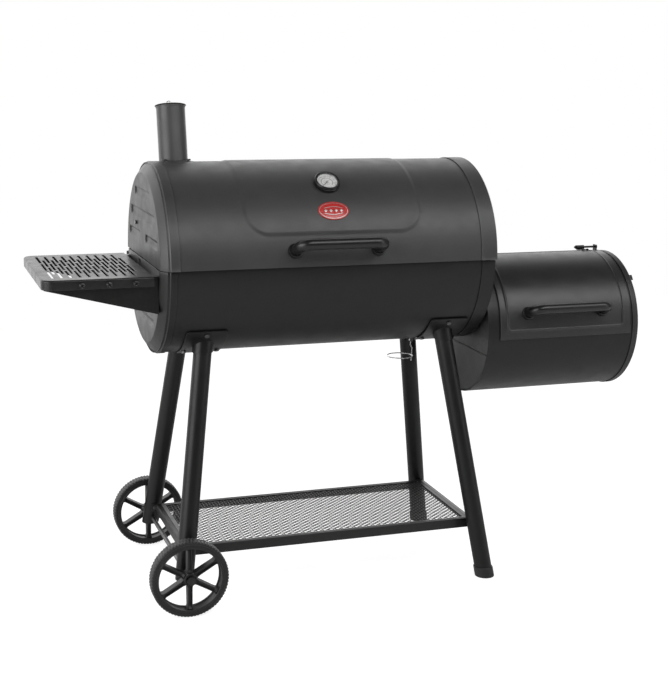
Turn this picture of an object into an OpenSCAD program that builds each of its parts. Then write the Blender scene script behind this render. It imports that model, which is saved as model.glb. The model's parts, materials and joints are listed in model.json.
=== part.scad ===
// Offset smoker: barrel cooking chamber with a hinged lid, side firebox, splayed stand,
// two wheels, side shelf and bottom shelf. Millimetres, +Z up, +X along the barrel
// towards the firebox, -Y is the front. The origin is on the floor, under the middle
// of the bounding box.

/* [Barrel] */
// Length of the cooking barrel over its end caps
barrel_len = 900; // [760:10:1000]
// Outside radius of the lid
lid_radius = 257; // [240:1:280]
// Radial step from the lid in to the base
lid_step = 10; // [8:1:14]
// Height of the barrel axis above the floor
axis_height = 885; // [840:5:930]
// Sheet thickness of shells and caps
sheet = 2; // [1.5:0.5:2.5]
// Width of the flange that each barrel cap wraps over the shell
cap_wrap = 40; // [30:1:50]
// Corner radius of the pressed barrel caps
cap_round = 16; // [10:1:20]

/* [Lid fittings] */
// Offset of handle, badge and thermometer from the middle of the lid
fittings_x = 3; // [-10:1:10]
// Distance between the feet of the lid handle
handle_span = 223; // [160:1:260]
// Stand-off of the lid handle bar
handle_reach = 62; // [45:1:70]
// Outside radius of the lid handle tube
handle_tube = 14.5; // [9:0.5:15]
// Radius of the thermometer case
gauge_radius = 34.5; // [30:0.5:42]
// Angle of the thermometer above the horizontal
gauge_angle = 52.8; // [45:0.1:60]
// Angle of the badge above the horizontal
badge_angle = 33.4; // [30:0.1:38]

/* [Smokestack] */
// Outside diameter of the stack tube
stack_dia = 76; // [60:1:90]
// Length of the stack above the lid
stack_rise = 150; // [120:5:220]
// Backward lean of the stack in degrees
stack_lean = 12.5; // [0:0.5:20]
// Distance of the stack from the middle of the barrel
stack_offset = 354; // [300:1:380]

/* [Firebox] */
// Length of the firebox over its end caps
firebox_len = 464; // [440:4:500]
// Outside radius of the firebox
firebox_radius = 195.5; // [185:0.5:200]
// Drop of the firebox axis below the barrel axis
firebox_drop = 216; // [205:1:225]
// Gap between barrel and firebox, filled by the duct collar
duct_gap = 11.5; // [8:0.5:16]

/* [Stand] */
// Outside diameter of the leg tubes
leg_dia = 48; // [42:1:50]
// Sideways drift of the left legs per unit of drop
splay_left = 0.129; // [0.1:0.001:0.14]
// Sideways drift of the right legs per unit of drop
splay_right = 0.150; // [0.1:0.001:0.16]
// Front and rear drift of all legs per unit of drop
splay_depth = 0.1635; // [0.14:0.0005:0.17]
// Wheel radius
wheel_radius = 101.6; // [90:0.2:115]
// Wheel width
wheel_width = 37.5; // [30:0.5:40]
// Height of the bottom shelf surface
shelf_height = 150; // [130:5:220]

/* [Side shelf] */
// Width of the side shelf
side_width = 274; // [200:2:320]
// Depth of the side shelf, front to rear
side_depth = 444; // [380:4:460]
// Height of the side shelf surface
side_height = 875; // [860:1:880]
// Number of slot columns in the side shelf
slot_columns = 20; // [8:1:24]

/* [Hidden] */

fine = 72;
mid = 36;
small = 20;
gap = 0.3;
far = 3000;

half = barrel_len / 2;
lid_r = lid_radius;
base_r = lid_radius - lid_step;
lid_skin = lid_r - sheet - gap;
base_skin = base_r - sheet - gap;
panel_r = lid_r;
lid_edge = axis_height + 5;
base_edge = axis_height + 2;
rim_edge = axis_height + 8;

fire_x0 = half + duct_gap;
fire_x1 = fire_x0 + firebox_len;
fire_z = axis_height - firebox_drop;
fire_skin = firebox_radius - sheet - gap;
fire_in = fire_skin - sheet;
drawer_r = fire_in - 1.7;
seam_z = fire_z - 56;
fire_round = 5;

leg_r = leg_dia / 2;
leg_z = 680;
leg_y = 134.5;
leg_xl = -322;
leg_xr = 348;
axle_x = leg_xl - splay_left * (leg_z - wheel_radius);
wheel_in = 259.5;
wheel_out = wheel_in + wheel_width;

hinge_y = lid_r + 9;
hinge_z = axis_height - 17;
hinge_x = half - 20;

rack_y = 84;
rack_z = axis_height + 90;
bail_y = 48;
bail_z = axis_height - 9;
eye_y = rack_y + bail_y - hinge_y;
eye_z = rack_z + bail_z - hinge_z;
rod = 3;
fit = 0.08;

door_r0 = fire_skin + 1.3;
door_r = door_r0 + sheet;
door_x0 = fire_x0 + 34.5;
door_x1 = fire_x1 - 25.5;
door_hy = 36;
door_hz = fire_z + 203;

grip_angle = 22;
lid_foot = 10.5;
door_foot = 17;
side_x0 = -half - 14 - side_width;
side_x1 = -half - 14;
drawer_pull = 32;
x_max = fire_x1 + drawer_pull;
y_min = -(lid_skin * cos(lid_foot) + handle_reach * cos(grip_angle) + handle_tube);
y_max = wheel_out + 9;
shift = [-(side_x0 + x_max) / 2, -(y_min + y_max) / 2, 0];

black = [0.11, 0.11, 0.115];
iron = [0.09, 0.09, 0.09];
zinc = [0.62, 0.63, 0.64];
plastic = [0.07, 0.07, 0.07];
white = [0.92, 0.92, 0.9];
red = [0.72, 0.12, 0.1];
glass = [0.8, 0.88, 0.9, 0.4];

// ---- helpers ----
module xcyl(r, x0, x1, y = 0, z = 0, n = fine)
    translate([x0, y, z]) rotate([0, 90, 0]) cylinder(r = r, h = x1 - x0, $fn = n);
module ycyl(r, y0, y1, x = 0, z = 0, n = small)
    translate([x, y0, z]) rotate([-90, 0, 0]) cylinder(r = r, h = y1 - y0, $fn = n);
module xtube(ro, ri, x0, x1, z) difference() {
    xcyl(ro, x0, x1, 0, z);
    xcyl(ri, x0 - 1, x1 + 1, 0, z);
}
module box(a, b) translate(a) cube(b - a);
module above(z) intersection() {
    children();
    box([-far, -far, z], [far, far, far]);
}
module below(z) intersection() {
    children();
    box([-far, -far, -far], [far, far, z]);
}
// child's +Z turned to lean forwards, angle measured up from the horizontal front
module face_front(angle) rotate([90 - angle, 0, 0]) children();
// straight round rod between two points
module bar(p, q, r, n = 8) {
    d = q - p;
    translate(p) rotate([0, acos(d[2] / norm(d)), atan2(d[1], d[0])])
        cylinder(r = r, h = norm(d), $fn = n);
}
module rrect(w, h, r) {
    square([w - 2 * r, h], center = true);
    square([w, h - 2 * r], center = true);
    for (i = [-1, 1], j = [-1, 1])
        translate([i * (w / 2 - r), j * (h / 2 - r)]) circle(r = r, $fn = mid);
}
// hex bolt: head above the seat at p, shank into it along -dir
module bolt(p, dir, shank = 9) {
    u = dir / norm(dir);
    bar(p, p + u * 4.5, 6.5, 6);
    bar(p - u * shank, p + u, 3, 12);
}
// U-shaped tube grip standing on its local XY plane
module grip(span, reach, r, bend) {
    for (s = [0, 1]) mirror([s, 0, 0]) {
        translate([span / 2, 0, -12]) cylinder(r = r, h = reach - bend + 12, $fn = small);
        translate([span / 2 - bend, 0, reach - bend]) rotate([90, 0, 0])
            rotate_extrude(angle = 90, $fn = mid) translate([bend, 0]) circle(r = r, $fn = small);
    }
    xcyl(r, -span / 2 + bend, span / 2 - bend, 0, reach, small);
}
// pressed round pan, outer face at z = 0, flange towards +Z
module pan(r, wrap, corner) {
    steps = [0:30:90];
    rotate_extrude($fn = fine) polygon(concat(
        [[0, 0]],
        [for (a = steps) [r - corner + corner * sin(a), corner - corner * cos(a)]],
        [[r, wrap], [r - sheet, wrap]],
        [for (a = steps) [r - corner + (corner - sheet) * cos(a),
            corner - (corner - sheet) * sin(a)]],
        [[0, sheet]]));
}
module on_cap() translate([-half, 0, axis_height]) rotate([0, 90, 0]) children();

// ---- barrel ----
press = 3;
lid_ribs = [[-105, 105, 161, 189], [-165, 165, 104, 135], [-194, -32, 47, 75], [32, 194, 47, 75]];
base_ribs = [[-194, -32, -74, -46], [32, 194, -74, -46], [-140, 140, -163, -137]];
duct_ribs = [[-196, -136, -74, -46], [136, 196, -74, -46]];

// half cap on the left end, with pressed-in ribs [y0, y1, z0, z1] from the axis
module half_cap(r, ribs) difference() {
    union() {
        on_cap() pan(r, cap_wrap, cap_round);
        for (b = ribs) box([-half + 0.5, b[0] - 2, axis_height + b[2] - 2],
            [-half + sheet + press, b[1] + 2, axis_height + b[3] + 2]);
    }
    for (b = ribs) box([-half - 1, b[0], axis_height + b[2]],
        [-half + press, b[1], axis_height + b[3]]);
}
module pin_hole(y, z) xcyl(rod + fit, -half - 1, -half + sheet + 1, y, z, small);

module lid_cap() difference() {
    above(lid_edge) half_cap(lid_r, lid_ribs);
    pin_hole(rack_y, rack_z);
}
module lid_cap_left() color(black) lid_cap();
module lid_cap_right() color(black) mirror([1, 0, 0]) lid_cap();

module base_cap_left() color(black) difference() {
    below(base_edge) half_cap(base_r, base_ribs);
    pin_hole(bail_y, bail_z);
}
module base_cap_right() color(black) mirror([1, 0, 0]) difference() {
    below(base_edge) half_cap(base_r, duct_ribs);
    pin_hole(bail_y, bail_z);
    box([-half - 1, -duct_w, duct_z0], [-half + sheet + 1, duct_w, duct_z1]);
}

drain_x = 311;
lug_z = 630;
module base_shell() color(black) {
    difference() {
        below(rim_edge) xtube(base_skin, base_skin - sheet, -half + cap_round, half - cap_round,
            axis_height);
        translate([drain_x - 22, 0, axis_height - base_r - 5]) cylinder(r = 6, h = 20, $fn = small);
    }
    lug_top = axis_height - base_skin + 1.5;
    difference() {
        for (s = [-1, 1]) box([drain_x - 5, s * 3.5 - 1, lug_z - 4], [drain_x + 5, s * 3.5 + 1, lug_top]);
        xcyl(base_skin - sheet / 2, drain_x - 6, drain_x + 6, 0, axis_height);
    }
    ycyl(2, -5.5, 5.5, drain_x, lug_z);
}

module lid_shell() color(black) difference() {
    union() {
        above(lid_edge) xtube(lid_skin, lid_skin - sheet, -half + cap_round, half - cap_round,
            axis_height);
        intersection() {
            above(lid_edge) xtube(panel_r, lid_skin - 1, -260, 260, axis_height);
            translate([0, 0, axis_height]) face_front(62.5)
                linear_extrude(400) rrect(472, 346, 62);
        }
    }
    translate([fittings_x, 0, axis_height]) face_front(gauge_angle) cylinder(r = 5, h = 400, $fn = small);
    on_stack() cylinder(r = stack_dia / 2 - 4, h = 120, center = true, $fn = mid);
}

// ---- lid fittings ----
module lid_point(angle, r)
    translate([fittings_x, -r * cos(angle), axis_height + r * sin(angle)]) children();
module clear_lid(r) difference() {
    children();
    xcyl(r, -half, half, 0, axis_height, 180);
}
module lid_handle() color(plastic) clear_lid(lid_skin + gap)
    lid_point(lid_foot, lid_skin) face_front(grip_angle) grip(handle_span, handle_reach, handle_tube, 26);
module lid_handle_bushings() color(plastic) clear_lid(lid_skin + gap)
    lid_point(lid_foot, lid_skin) face_front(grip_angle)
        for (s = [-1, 1]) translate([s * handle_span / 2, 0, 0]) difference() {
            translate([0, 0, -12]) cylinder(r = handle_tube + 5, h = 19, $fn = mid);
            translate([0, 0, -13]) cylinder(r = handle_tube + gap, h = 30, $fn = mid);
        }

module on_gauge() lid_point(gauge_angle, panel_r) face_front(gauge_angle) children();
module thermometer_case() color(plastic) on_gauge() {
    difference() {
        translate([0, 0, 1.6]) cylinder(r = gauge_radius, h = 13, $fn = fine);
        translate([0, 0, 5]) cylinder(r = gauge_radius - 7.5, h = 20, $fn = fine);
    }
    translate([0, 0, -92]) cylinder(r = 4, h = 95, $fn = small);
}
module thermometer_dial() color(white) on_gauge() {
    translate([0, 0, 5.2]) cylinder(r = gauge_radius - 7.9, h = 1, $fn = fine);
    translate([0, 0, 5.5]) cylinder(r = 1.4, h = 3.6, $fn = small);
}
module thermometer_needle() color(plastic) on_gauge() rotate([0, 0, 228]) difference() {
    union() {
        translate([0, 0, 7]) cylinder(r = 3.6, h = 1.2, $fn = small);
        translate([-8, -1, 7]) cube([32, 2, 1.2]);
    }
    translate([0, 0, 6]) cylinder(r = 1.4 + fit, h = 4, $fn = small);
}
module thermometer_lens() color(glass) on_gauge()
    translate([0, 0, 11]) cylinder(r = gauge_radius - 7.8, h = 2, $fn = fine);

module lid_badge() color(red) intersection() {
    xtube(panel_r + 2.4, panel_r + 0.2, -50, 50, axis_height);
    translate([fittings_x, 0, axis_height]) face_front(badge_angle) linear_extrude(400)
        polygon([for (a = [0:12:348]) [41.5 * cos(a), 25.5 * sin(a)]]);
}

module on_stack() translate([-stack_offset, lid_skin * sin(stack_lean),
    axis_height + lid_skin * cos(stack_lean)]) rotate([-stack_lean, 0, 0]) children();
cap_pin = [13, 26, 0];
module smokestack() color(black) {
    clear_lid(lid_skin + 0.2) on_stack() difference() {
        union() {
            translate([0, 0, -8]) cylinder(r = stack_dia / 2, h = stack_rise + 8, $fn = fine);
            intersection() {
                translate([0, 0, -14]) cylinder(r = stack_dia / 2 + 15, h = 20, $fn = mid);
                translate([0, 0, -lid_skin]) xcyl(lid_skin + 2.2, -80, 80);
            }
        }
        translate([0, 0, -30]) cylinder(r = stack_dia / 2 - 2, h = 300, $fn = fine);
    }
    on_stack() translate([0, 0, stack_rise]) {
        intersection() {
            translate(cap_pin + [-5, -5, -14]) cube([10, 20, 13]);
            translate([0, 0, -20]) cylinder(r = stack_dia / 2 - 1, h = 40, $fn = fine);
        }
        translate(cap_pin + [0, 0, -6]) cylinder(r = 2.5, h = 9, $fn = small);
        translate(cap_pin + [0, 0, 2.5]) cylinder(r = 5, h = 3.5, $fn = 6);
    }
}
module stack_cap() color(black) on_stack() translate([0, 0, stack_rise + 0.5]) {
    difference() {
        cylinder(r = stack_dia / 2 + 3.5, h = 1.5, $fn = fine);
        translate(cap_pin + [0, 0, -1]) cylinder(r = 2.5 + fit, h = 4, $fn = small);
    }
    translate([-4, 0, 7]) rotate([90, 0, 0]) rotate_extrude($fn = small)
        translate([5.5, 0]) circle(r = 1.4, $fn = 13);
}

// ---- lid hinge, one side at +x; mirrored for the other ----
leaf_w = 13;
module both_sides() for (s = [0, 1]) mirror([s, 0, 0]) children();
module curved_leaf(r, z0, z1) intersection() {
    xtube(r + 2.5, r + 0.1, hinge_x - leaf_w, hinge_x + leaf_w, axis_height);
    box([0, 150, z0], [far, far, z1]);
}
module hinge_base_leaves() color(black) both_sides() difference() {
    union() {
        curved_leaf(base_r, axis_height - 62, axis_height - 8);
        for (x = [hinge_x - leaf_w, hinge_x + leaf_w - 7]) {
            box([x, base_r - 8, hinge_z - 6], [x + 7, hinge_y, hinge_z + 4]);
            xcyl(6, x, x + 7, hinge_y, hinge_z, small);
        }
    }
    xcyl(base_r + 0.1, 0, half + 1, 0, axis_height);
    xcyl(3.02, 0, half + 1, hinge_y, hinge_z, small);
}
module hinge_lid_leaves() color(black) both_sides() difference() {
    union() {
        curved_leaf(lid_r, lid_edge + 4, lid_edge + 52);
        box([hinge_x - 5.5, lid_r + 0.3, hinge_z - 2], [hinge_x + 5.5, lid_r + 5.5, lid_edge + 14]);
        xcyl(6, hinge_x - 5.5, hinge_x + 5.5, hinge_y, hinge_z, small);
    }
    xcyl(3 + fit, 0, half + 1, hinge_y, hinge_z, small);
}
module hinge_pins() color(zinc) both_sides() {
    xcyl(3, hinge_x - leaf_w - 2, hinge_x + leaf_w + 2, hinge_y, hinge_z, small);
    for (x = [hinge_x - leaf_w - 4, hinge_x + leaf_w + 0.5])
        xcyl(5.5, x, x + 3.5, hinge_y, hinge_z, 6);
}
module leaf_bolt(r, z, x) {
    y = sqrt(r * r - (z - axis_height) * (z - axis_height));
    bolt([x, y, z], [0, y, z - axis_height], 7);
}
module lid_bolts() color(zinc) {
    both_sides() for (x = [-7, 7]) leaf_bolt(lid_r + 2.4, lid_edge + 38, hinge_x + x);
    for (a = [45:90:315]) translate([-stack_offset + 46 * cos(a), 46 * sin(a), 0]) {
        y = lid_skin * sin(stack_lean) + 46 * sin(a);
        z = sqrt(pow(lid_skin + 2, 2) - y * y);
        translate([0, y - 46 * sin(a), axis_height]) bolt([0, 0, z], [0, y, z], 7);
    }
}

// ---- warming rack and its linkage ----
module rack_nut(y, z) both_sides() xcyl(5.5, half + 0.4, half + 4.4, y, z, 6);
module warming_rack() color(zinc) {
    xcyl(rod, -half - 3, half + 3, rack_y, rack_z, 16);
    rack_nut(rack_y, rack_z);
    front = [eye_y - 14, eye_z + 4];
    xcyl(rod, -428, 428, front[0], front[1], 16);
    for (i = [-11.5:1:11.5])
        bar([i * 36, rack_y + 3, rack_z + 4], [i * 36, front[0] - 4, front[1] + 3], 2);
    for (s = [-1, 1]) difference() {
        translate([s * 426, eye_y - 2, eye_z]) cube([3, 30, 16], center = true);
        xcyl(rod + 0.4, -440, 440, eye_y, eye_z, small);
    }
}
module rack_bail() color(zinc) {
    arm = half - 9;
    xcyl(rod, -arm, arm, eye_y, eye_z, 16);
    both_sides() {
        bar([arm, eye_y, eye_z], [arm, bail_y, bail_z], rod, 16);
        xcyl(rod, arm - 3, half + 3, bail_y, bail_z, 16);
    }
    rack_nut(bail_y, bail_z);
}

// ---- grates and fire pan ----
grate_w = 278;
grate_z = axis_height - 17;
module grate(i) color(iron) translate([i * (grate_w + 1.5), 0, grate_z]) linear_extrude(10) difference() {
    square([grate_w, 468], center = true);
    for (x = [-5.5:1:5.5], y = [-1, 0, 1]) translate([x * 22, y * 154]) square([14, 142], center = true);
}
module grate_left() grate(-1);
module grate_middle() grate(0);
module grate_right() grate(1);
module grate_ledges() color(black) {
    intersection() {
        for (s = [-1, 1]) box([-half + 30, s * 234 - 8, grate_z - 4], [half - 30, s * 234 + 8, grate_z - 0.3]);
        xcyl(base_skin - sheet - 0.1, -half, half, 0, axis_height);
    }
    intersection() {
        for (s = [-1, 1]) box([fire_x0 + 20, s * 178 - 9, seam_z + 2], [fire_x1 - 20, s * 178 + 9, seam_z + 6]);
        xcyl(fire_in - 0.1, fire_x0, fire_x1, 0, fire_z);
    }
}
tray_z = 716;
module charcoal_tray() color(black) difference() {
    box([-360, -140, tray_z], [360, 140, tray_z + 32]);
    box([-358, -138, tray_z + 2], [358, 138, tray_z + 40]);
}
module tray_stands() color(black) for (x = [-240, 240]) intersection() {
    difference() {
        box([x - 15, -110, tray_z - 120], [x + 15, 110, tray_z - 0.3]);
        box([x - 16, -107, tray_z - 120], [x + 16, 107, tray_z - 3]);
    }
    xcyl(base_skin - sheet - 0.3, -half, half, 0, axis_height);
}

// ---- legs and saddles ----
function leg_at(sx, sy, z) = [
    sx < 0 ? leg_xl - splay_left * (leg_z - z) : leg_xr + splay_right * (leg_z - z),
    sy * (leg_y + splay_depth * (leg_z - z)), z];
module saddle(sx, sy) color(black) difference() {
    union() {
        intersection() {
            xtube(base_r + 2.6, base_r + 0.1, leg_at(sx, sy, leg_z)[0] - 55,
                leg_at(sx, sy, leg_z)[0] + 55, axis_height);
            box([-far, min(sy * 58, sy * 300), 0], [far, max(sy * 58, sy * 300), axis_height - 161]);
        }
        bar(leg_at(sx, sy, leg_z + 25), leg_at(sx, sy, leg_z - 20), leg_r + 5, mid);
    }
    bar(leg_at(sx, sy, leg_z + 30), leg_at(sx, sy, leg_z - 30), leg_r + gap, mid);
    xcyl(base_r + 0.1, -half, half, 0, axis_height);
}
module saddle_front_left() saddle(-1, -1);
module saddle_front_right() saddle(1, -1);
module saddle_rear_left() saddle(-1, 1);
module saddle_rear_right() saddle(1, 1);

module leg(sx, sy) color(black) {
    low = sx < 0 ? wheel_radius - 20 : 4;
    difference() {
        bar(leg_at(sx, sy, leg_z + 25), leg_at(sx, sy, -20), leg_r, mid);
        bar(leg_at(sx, sy, leg_z + 30), leg_at(sx, sy, -25), leg_r - 2, mid);
        xcyl(base_r + 0.4, -half, half, 0, axis_height);
        box([-far, -far, -far], [far, far, low]);
        if (sx < 0) ycyl(6.2, -400, 400, axle_x, wheel_radius);
    }
}
module leg_front_left() leg(-1, -1);
module leg_front_right() leg(1, -1);
module leg_rear_left() leg(-1, 1);
module leg_rear_right() leg(1, 1);

module foot_cap(sy) color(plastic) difference() {
    bar(leg_at(1, sy, 28), leg_at(1, sy, -20), leg_r + 2.6, mid);
    difference() {
        bar(leg_at(1, sy, 40), leg_at(1, sy, -20), leg_r + gap, mid);
        box([-far, -far, -far], [far, far, 3.6]);
    }
    box([-far, -far, -far], [far, far, 0]);
}
module foot_cap_front() foot_cap(-1);
module foot_cap_rear() foot_cap(1);

module wheel_axle() color(zinc) ycyl(6, -wheel_out - 6, wheel_out + 6, axle_x, wheel_radius);
module axle_hardware() color(zinc) for (s = [0, 1]) mirror([0, s, 0]) {
    difference() {
        ycyl(11, wheel_in - 3.6, wheel_in - gap, axle_x, wheel_radius);
        ycyl(6.05, 0, 400, axle_x, wheel_radius);
    }
    difference() {
        ycyl(11, wheel_out + 2.4, wheel_out + 9, axle_x, wheel_radius);
        ycyl(6.05, 0, wheel_out + 6.3, axle_x, wheel_radius);
    }
}

module wheel() color(plastic) translate([axle_x, wheel_in, wheel_radius]) rotate([-90, 0, 0]) {
    rim = wheel_radius - 19;
    difference() {
        cylinder(r = wheel_radius, h = wheel_width, $fn = fine);
        translate([0, 0, -1]) cylinder(r = rim, h = wheel_width + 2, $fn = fine);
    }
    difference() {
        union() {
            cylinder(r = 17, h = wheel_width + 2, $fn = mid);
            for (a = [30:60:330]) rotate([0, 0, a]) translate([10, -5, 8])
                cube([rim - 5, 10, wheel_width - 14]);
        }
        translate([0, 0, -1]) cylinder(r = 6 + fit, h = wheel_width + 5, $fn = small);
    }
}
module wheel_rear() wheel();
module wheel_front() mirror([0, 1, 0]) wheel();

// ---- bottom shelf ----
shelf_x0 = -390;
shelf_x1 = 436;
shelf_y = 184;
skirt = 26;
module bottom_shelf_frame() color(black) {
    difference() {
        box([shelf_x0, -shelf_y, shelf_height - skirt], [shelf_x1, shelf_y, shelf_height]);
        box([shelf_x0 + 2, -shelf_y + 2, 0], [shelf_x1 - 2, shelf_y - 2, shelf_height - 2]);
        box([shelf_x0 + 24, -shelf_y + 18, 0], [shelf_x1 - 24, shelf_y - 18, far]);
    }
    for (sx = [-1, 1], sy = [-1, 1]) {
        p = leg_at(sx, sy, shelf_height - 14);
        edge = abs(p[1]) - leg_r - 2.5;
        x = sx < 0 ? shelf_x0 : shelf_x1 - 2;
        z = shelf_height - skirt;
        mirror([0, sy < 0 ? 1 : 0, 0]) {
            box([x, shelf_y - 3, z], [x + 2, edge - 0.5, shelf_height - 4]);
            box([min(x, p[0] - 10), edge - 2.5, z], [max(x + 2, p[0] + 10), edge - 0.5, shelf_height - 4]);
        }
    }
}
module bottom_shelf_mesh() color(black) {
    w = shelf_x1 - shelf_x0 - 6;
    translate([(shelf_x0 + shelf_x1) / 2, 0, shelf_height - 3.8]) linear_extrude(1.6) difference() {
        square([w, 2 * shelf_y - 6], center = true);
        for (j = [-4:4], i = [-10:10]) translate([i * 36 + (j % 2 == 0 ? 0 : 18), j * 36])
            if (abs(i * 36 + (j % 2 == 0 ? 0 : 18)) < w / 2 - 30)
                polygon([[-15, 0], [0, -13], [15, 0], [0, 13]]);
    }
}

// ---- side shelf ----
module side_shelf() color(black) {
    slot_x0 = side_x0 + 32;
    pitch = (side_width - 50) / slot_columns;
    cx = (side_x0 + side_x1 + 20) / 2;
    difference() {
        intersection() {
            translate([cx, 0, side_height - 25]) linear_extrude(25) rrect(side_width + 20, side_depth, 20);
            box([-far, -far, 0], [side_x1, far, far]);
        }
        translate([cx, 0, 0]) linear_extrude(side_height - 2) rrect(side_width + 16, side_depth - 4, 18);
        for (i = [0:slot_columns - 1], j = [-1, 0, 1])
            if (i % 2 == 0 || j < 1)
                translate([slot_x0 + i * pitch, (i % 2 == 0 ? j : j + 0.5) * 128, side_height])
                    cube([5.5, 106, 20], center = true);
    }
}
module side_bracket(sy) color(black) mirror([0, sy > 0 ? 0 : 1, 0]) {
    x = -half - 0.2;
    top = side_height - 2.2;
    translate([0, 205, 0]) rotate([90, 0, 0]) linear_extrude(2)
        polygon([[x, 777], [x, top], [side_x0 + 6, top], [side_x0 + 6, side_height - 27]]);
    box([x - 2, 180, 777], [x, 205, top]);
    box([side_x0 + 6, 180, top - 2], [x, 205, top]);
}
module side_bracket_front() side_bracket(-1);
module side_bracket_rear() side_bracket(1);
module tool_hooks() color(zinc) for (i = [-1, 0, 1]) {
    x = -half - 126 + i * 66;
    ycyl(3, -side_depth / 2 - 12, -side_depth / 2 - 0.1, x, side_height - 14);
    ycyl(7, -side_depth / 2 - 15, -side_depth / 2 - 11, x, side_height - 14);
    ycyl(6, -side_depth / 2 - 2, -side_depth / 2 - 0.1, x, side_height - 14);
}

// ---- fasteners of the stand ----
module frame_bolts() color(zinc) {
    for (sx = [-1, 1], sy = [-1, 1]) {
        x = leg_at(sx, sy, leg_z)[0];
        r = base_r + 2.5;
        for (q = [[0, 44.2], [-44, 67], [44, 67]])
            bolt([x + q[0], sy * r * cos(q[1]), axis_height - r * sin(q[1])],
                [0, sy * cos(q[1]), -sin(q[1])]);
        p = leg_at(sx, sy, shelf_height - 14);
        bolt([p[0], p[1] - sy * (leg_r + 5), p[2]], [0, -sy, 0], 30);
        if (sx < 0) for (z = [795, 835]) bolt([-half - 2.2, sy * 190, z], [-1, 0, 0], 7);
    }
    both_sides() for (x = [-7, 7]) leaf_bolt(base_r + 2.4, axis_height - 48, hinge_x + x);
    for (y = [-110, 110], z = [duct_z0 + 15, duct_z1 - 15])
        bolt([half - sheet, y, z], [-1, 0, 0], duct_gap + 7);
}

// ---- firebox ----
duct_w = 102;
duct_z0 = 704;
duct_z1 = 794;
module duct_collar() color(black) difference() {
    box([half + 0.2, -duct_w - 16, duct_z0 - 12], [fire_x0 - 0.2, duct_w + 16, duct_z1 + 12]);
    box([half - 1, -duct_w, duct_z0], [fire_x0 + 1, duct_w, duct_z1]);
}
module firebox_shell() color(black) difference() {
    xtube(fire_skin, fire_in, fire_x0, fire_x1 - fire_round, fire_z);
    box([door_x0 + 14, -300, fire_z + 10], [door_x1 - 14, 5, far]);
}
module segment(r, x0, x1, top) below(top) xcyl(r, x0, x1, 0, fire_z);
module firebox_cap_left() color(black) {
    r = fire_in - 0.2;
    difference() {
        above(seam_z) difference() {
            xcyl(r, fire_x0, fire_x0 + 16, 0, fire_z);
            xcyl(r - 2, fire_x0 + 2, fire_x0 + 17, 0, fire_z);
        }
        box([fire_x0 - 1, -duct_w, duct_z0], [fire_x0 + 3, duct_w, duct_z1]);
    }
    edge = sqrt(r * r - 58 * 58) - 1;
    box([fire_x0 - 2, -edge, seam_z - 1.5], [fire_x0 + 5, edge, seam_z + 1.5]);
}
damper_z = fire_z + 50;
module vents() for (a = [30, 150, 270]) rotate([a, 0, 0]) xcyl(15, -10, 10, 0, 42, mid);
module firebox_cap_right() color(black) {
    difference() {
        translate([fire_x1, 0, fire_z]) rotate([0, -90, 0]) pan(firebox_radius, 19, fire_round);
        segment(drawer_r + 0.8, fire_x1 - 5, fire_x1 + 5, seam_z);
        translate([fire_x1, 0, damper_z]) vents();
    }
    xcyl(3, fire_x1 - 1, fire_x1 + 3.5, 0, damper_z, small);
    xcyl(7, fire_x1 + 2.4, fire_x1 + 4.5, 0, damper_z, small);
}
module firebox_damper() color(black) translate([fire_x1 + 0.5, 0, damper_z]) {
    difference() {
        union() {
            xcyl(66, 0, 1.5);
            rotate([54, 0, 0]) box([0, -8, 40], [1.5, 8, 140]);
        }
        vents();
        xcyl(3 + fit, -1, 3, 0, 0, small);
    }
    rotate([54, 0, 0]) box([0, -8, 138.5], [20, 8, 140]);
}
module firebox_grate() color(iron) {
    cy = 172;
    z = seam_z + 6.4;
    translate([(fire_x0 + fire_x1) / 2, 0, z]) linear_extrude(8) difference() {
        square([firebox_len - 44, 2 * cy], center = true);
        for (i = [-8:8], s = [-1, 1]) translate([i * 24, s * 82]) square([15, 150], center = true);
    }
}
module firebox_hinge_brackets() color(zinc) for (s = [0, 1])
    translate([(door_x0 + door_x1) / 2, 0, 0]) mirror([s, 0, 0]) {
        x = (door_x1 - door_x0) / 2 + 1.8;
        difference() {
            box([x, door_hy - 9, fire_z + 150], [x + 3.5, door_hy + 9, door_hz + 6]);
            xcyl(fire_skin + 0.1, x - 1, x + 5, 0, fire_z);
        }
        xcyl(3, x - 66, x + 5, door_hy, door_hz, small);
        xcyl(5.5, x + 3, x + 7, door_hy, door_hz, 6);
    }
module firebox_door() color(black) {
    mid_x = (door_x0 + door_x1) / 2;
    intersection() {
        xtube(door_r, door_r0, door_x0, door_x1, fire_z);
        box([door_x0 - 1, -300, fire_z - 12], [door_x1 + 1, 24, far]);
    }
    intersection() {
        xtube(door_r + 1.5, door_r - 1, door_x0 + 19, door_x1 - 36, fire_z);
        translate([mid_x - 8.5, 0, fire_z]) face_front(48)
            linear_extrude(300) rrect(door_x1 - door_x0 - 75, 260, 14);
    }
    for (s = [-1, 1]) {
        x = mid_x + s * ((door_x1 - door_x0) / 2 - 47);
        difference() {
            union() {
                box([x - 13, -12, door_hz - 7.5], [x + 13, door_hy, door_hz - 3.5]);
                xcyl(5.5, x - 13, x + 13, door_hy, door_hz, small);
            }
            xcyl(door_r - 1, x - 14, x + 14, 0, fire_z);
            xcyl(3 + fit, x - 14, x + 14, door_hy, door_hz, small);
        }
    }
}
module firebox_door_handle() color(plastic) difference() {
    translate([(door_x0 + door_x1) / 2 - 4, -door_r * cos(door_foot), fire_z + door_r * sin(door_foot)])
        face_front(grip_angle) grip(228, 54, 13.5, 26);
    xcyl(door_r + 1.8, fire_x0, fire_x1, 0, fire_z);
}
module ash_drawer() color(black) {
    top = seam_z - 3;
    x0 = fire_x0 + 1;
    x1 = fire_x1 - 0.5;
    difference() {
        segment(drawer_r, x0, x1, top);
        segment(drawer_r - 1.5, x0 + 2, x1 - 2, far);
    }
}
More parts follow.
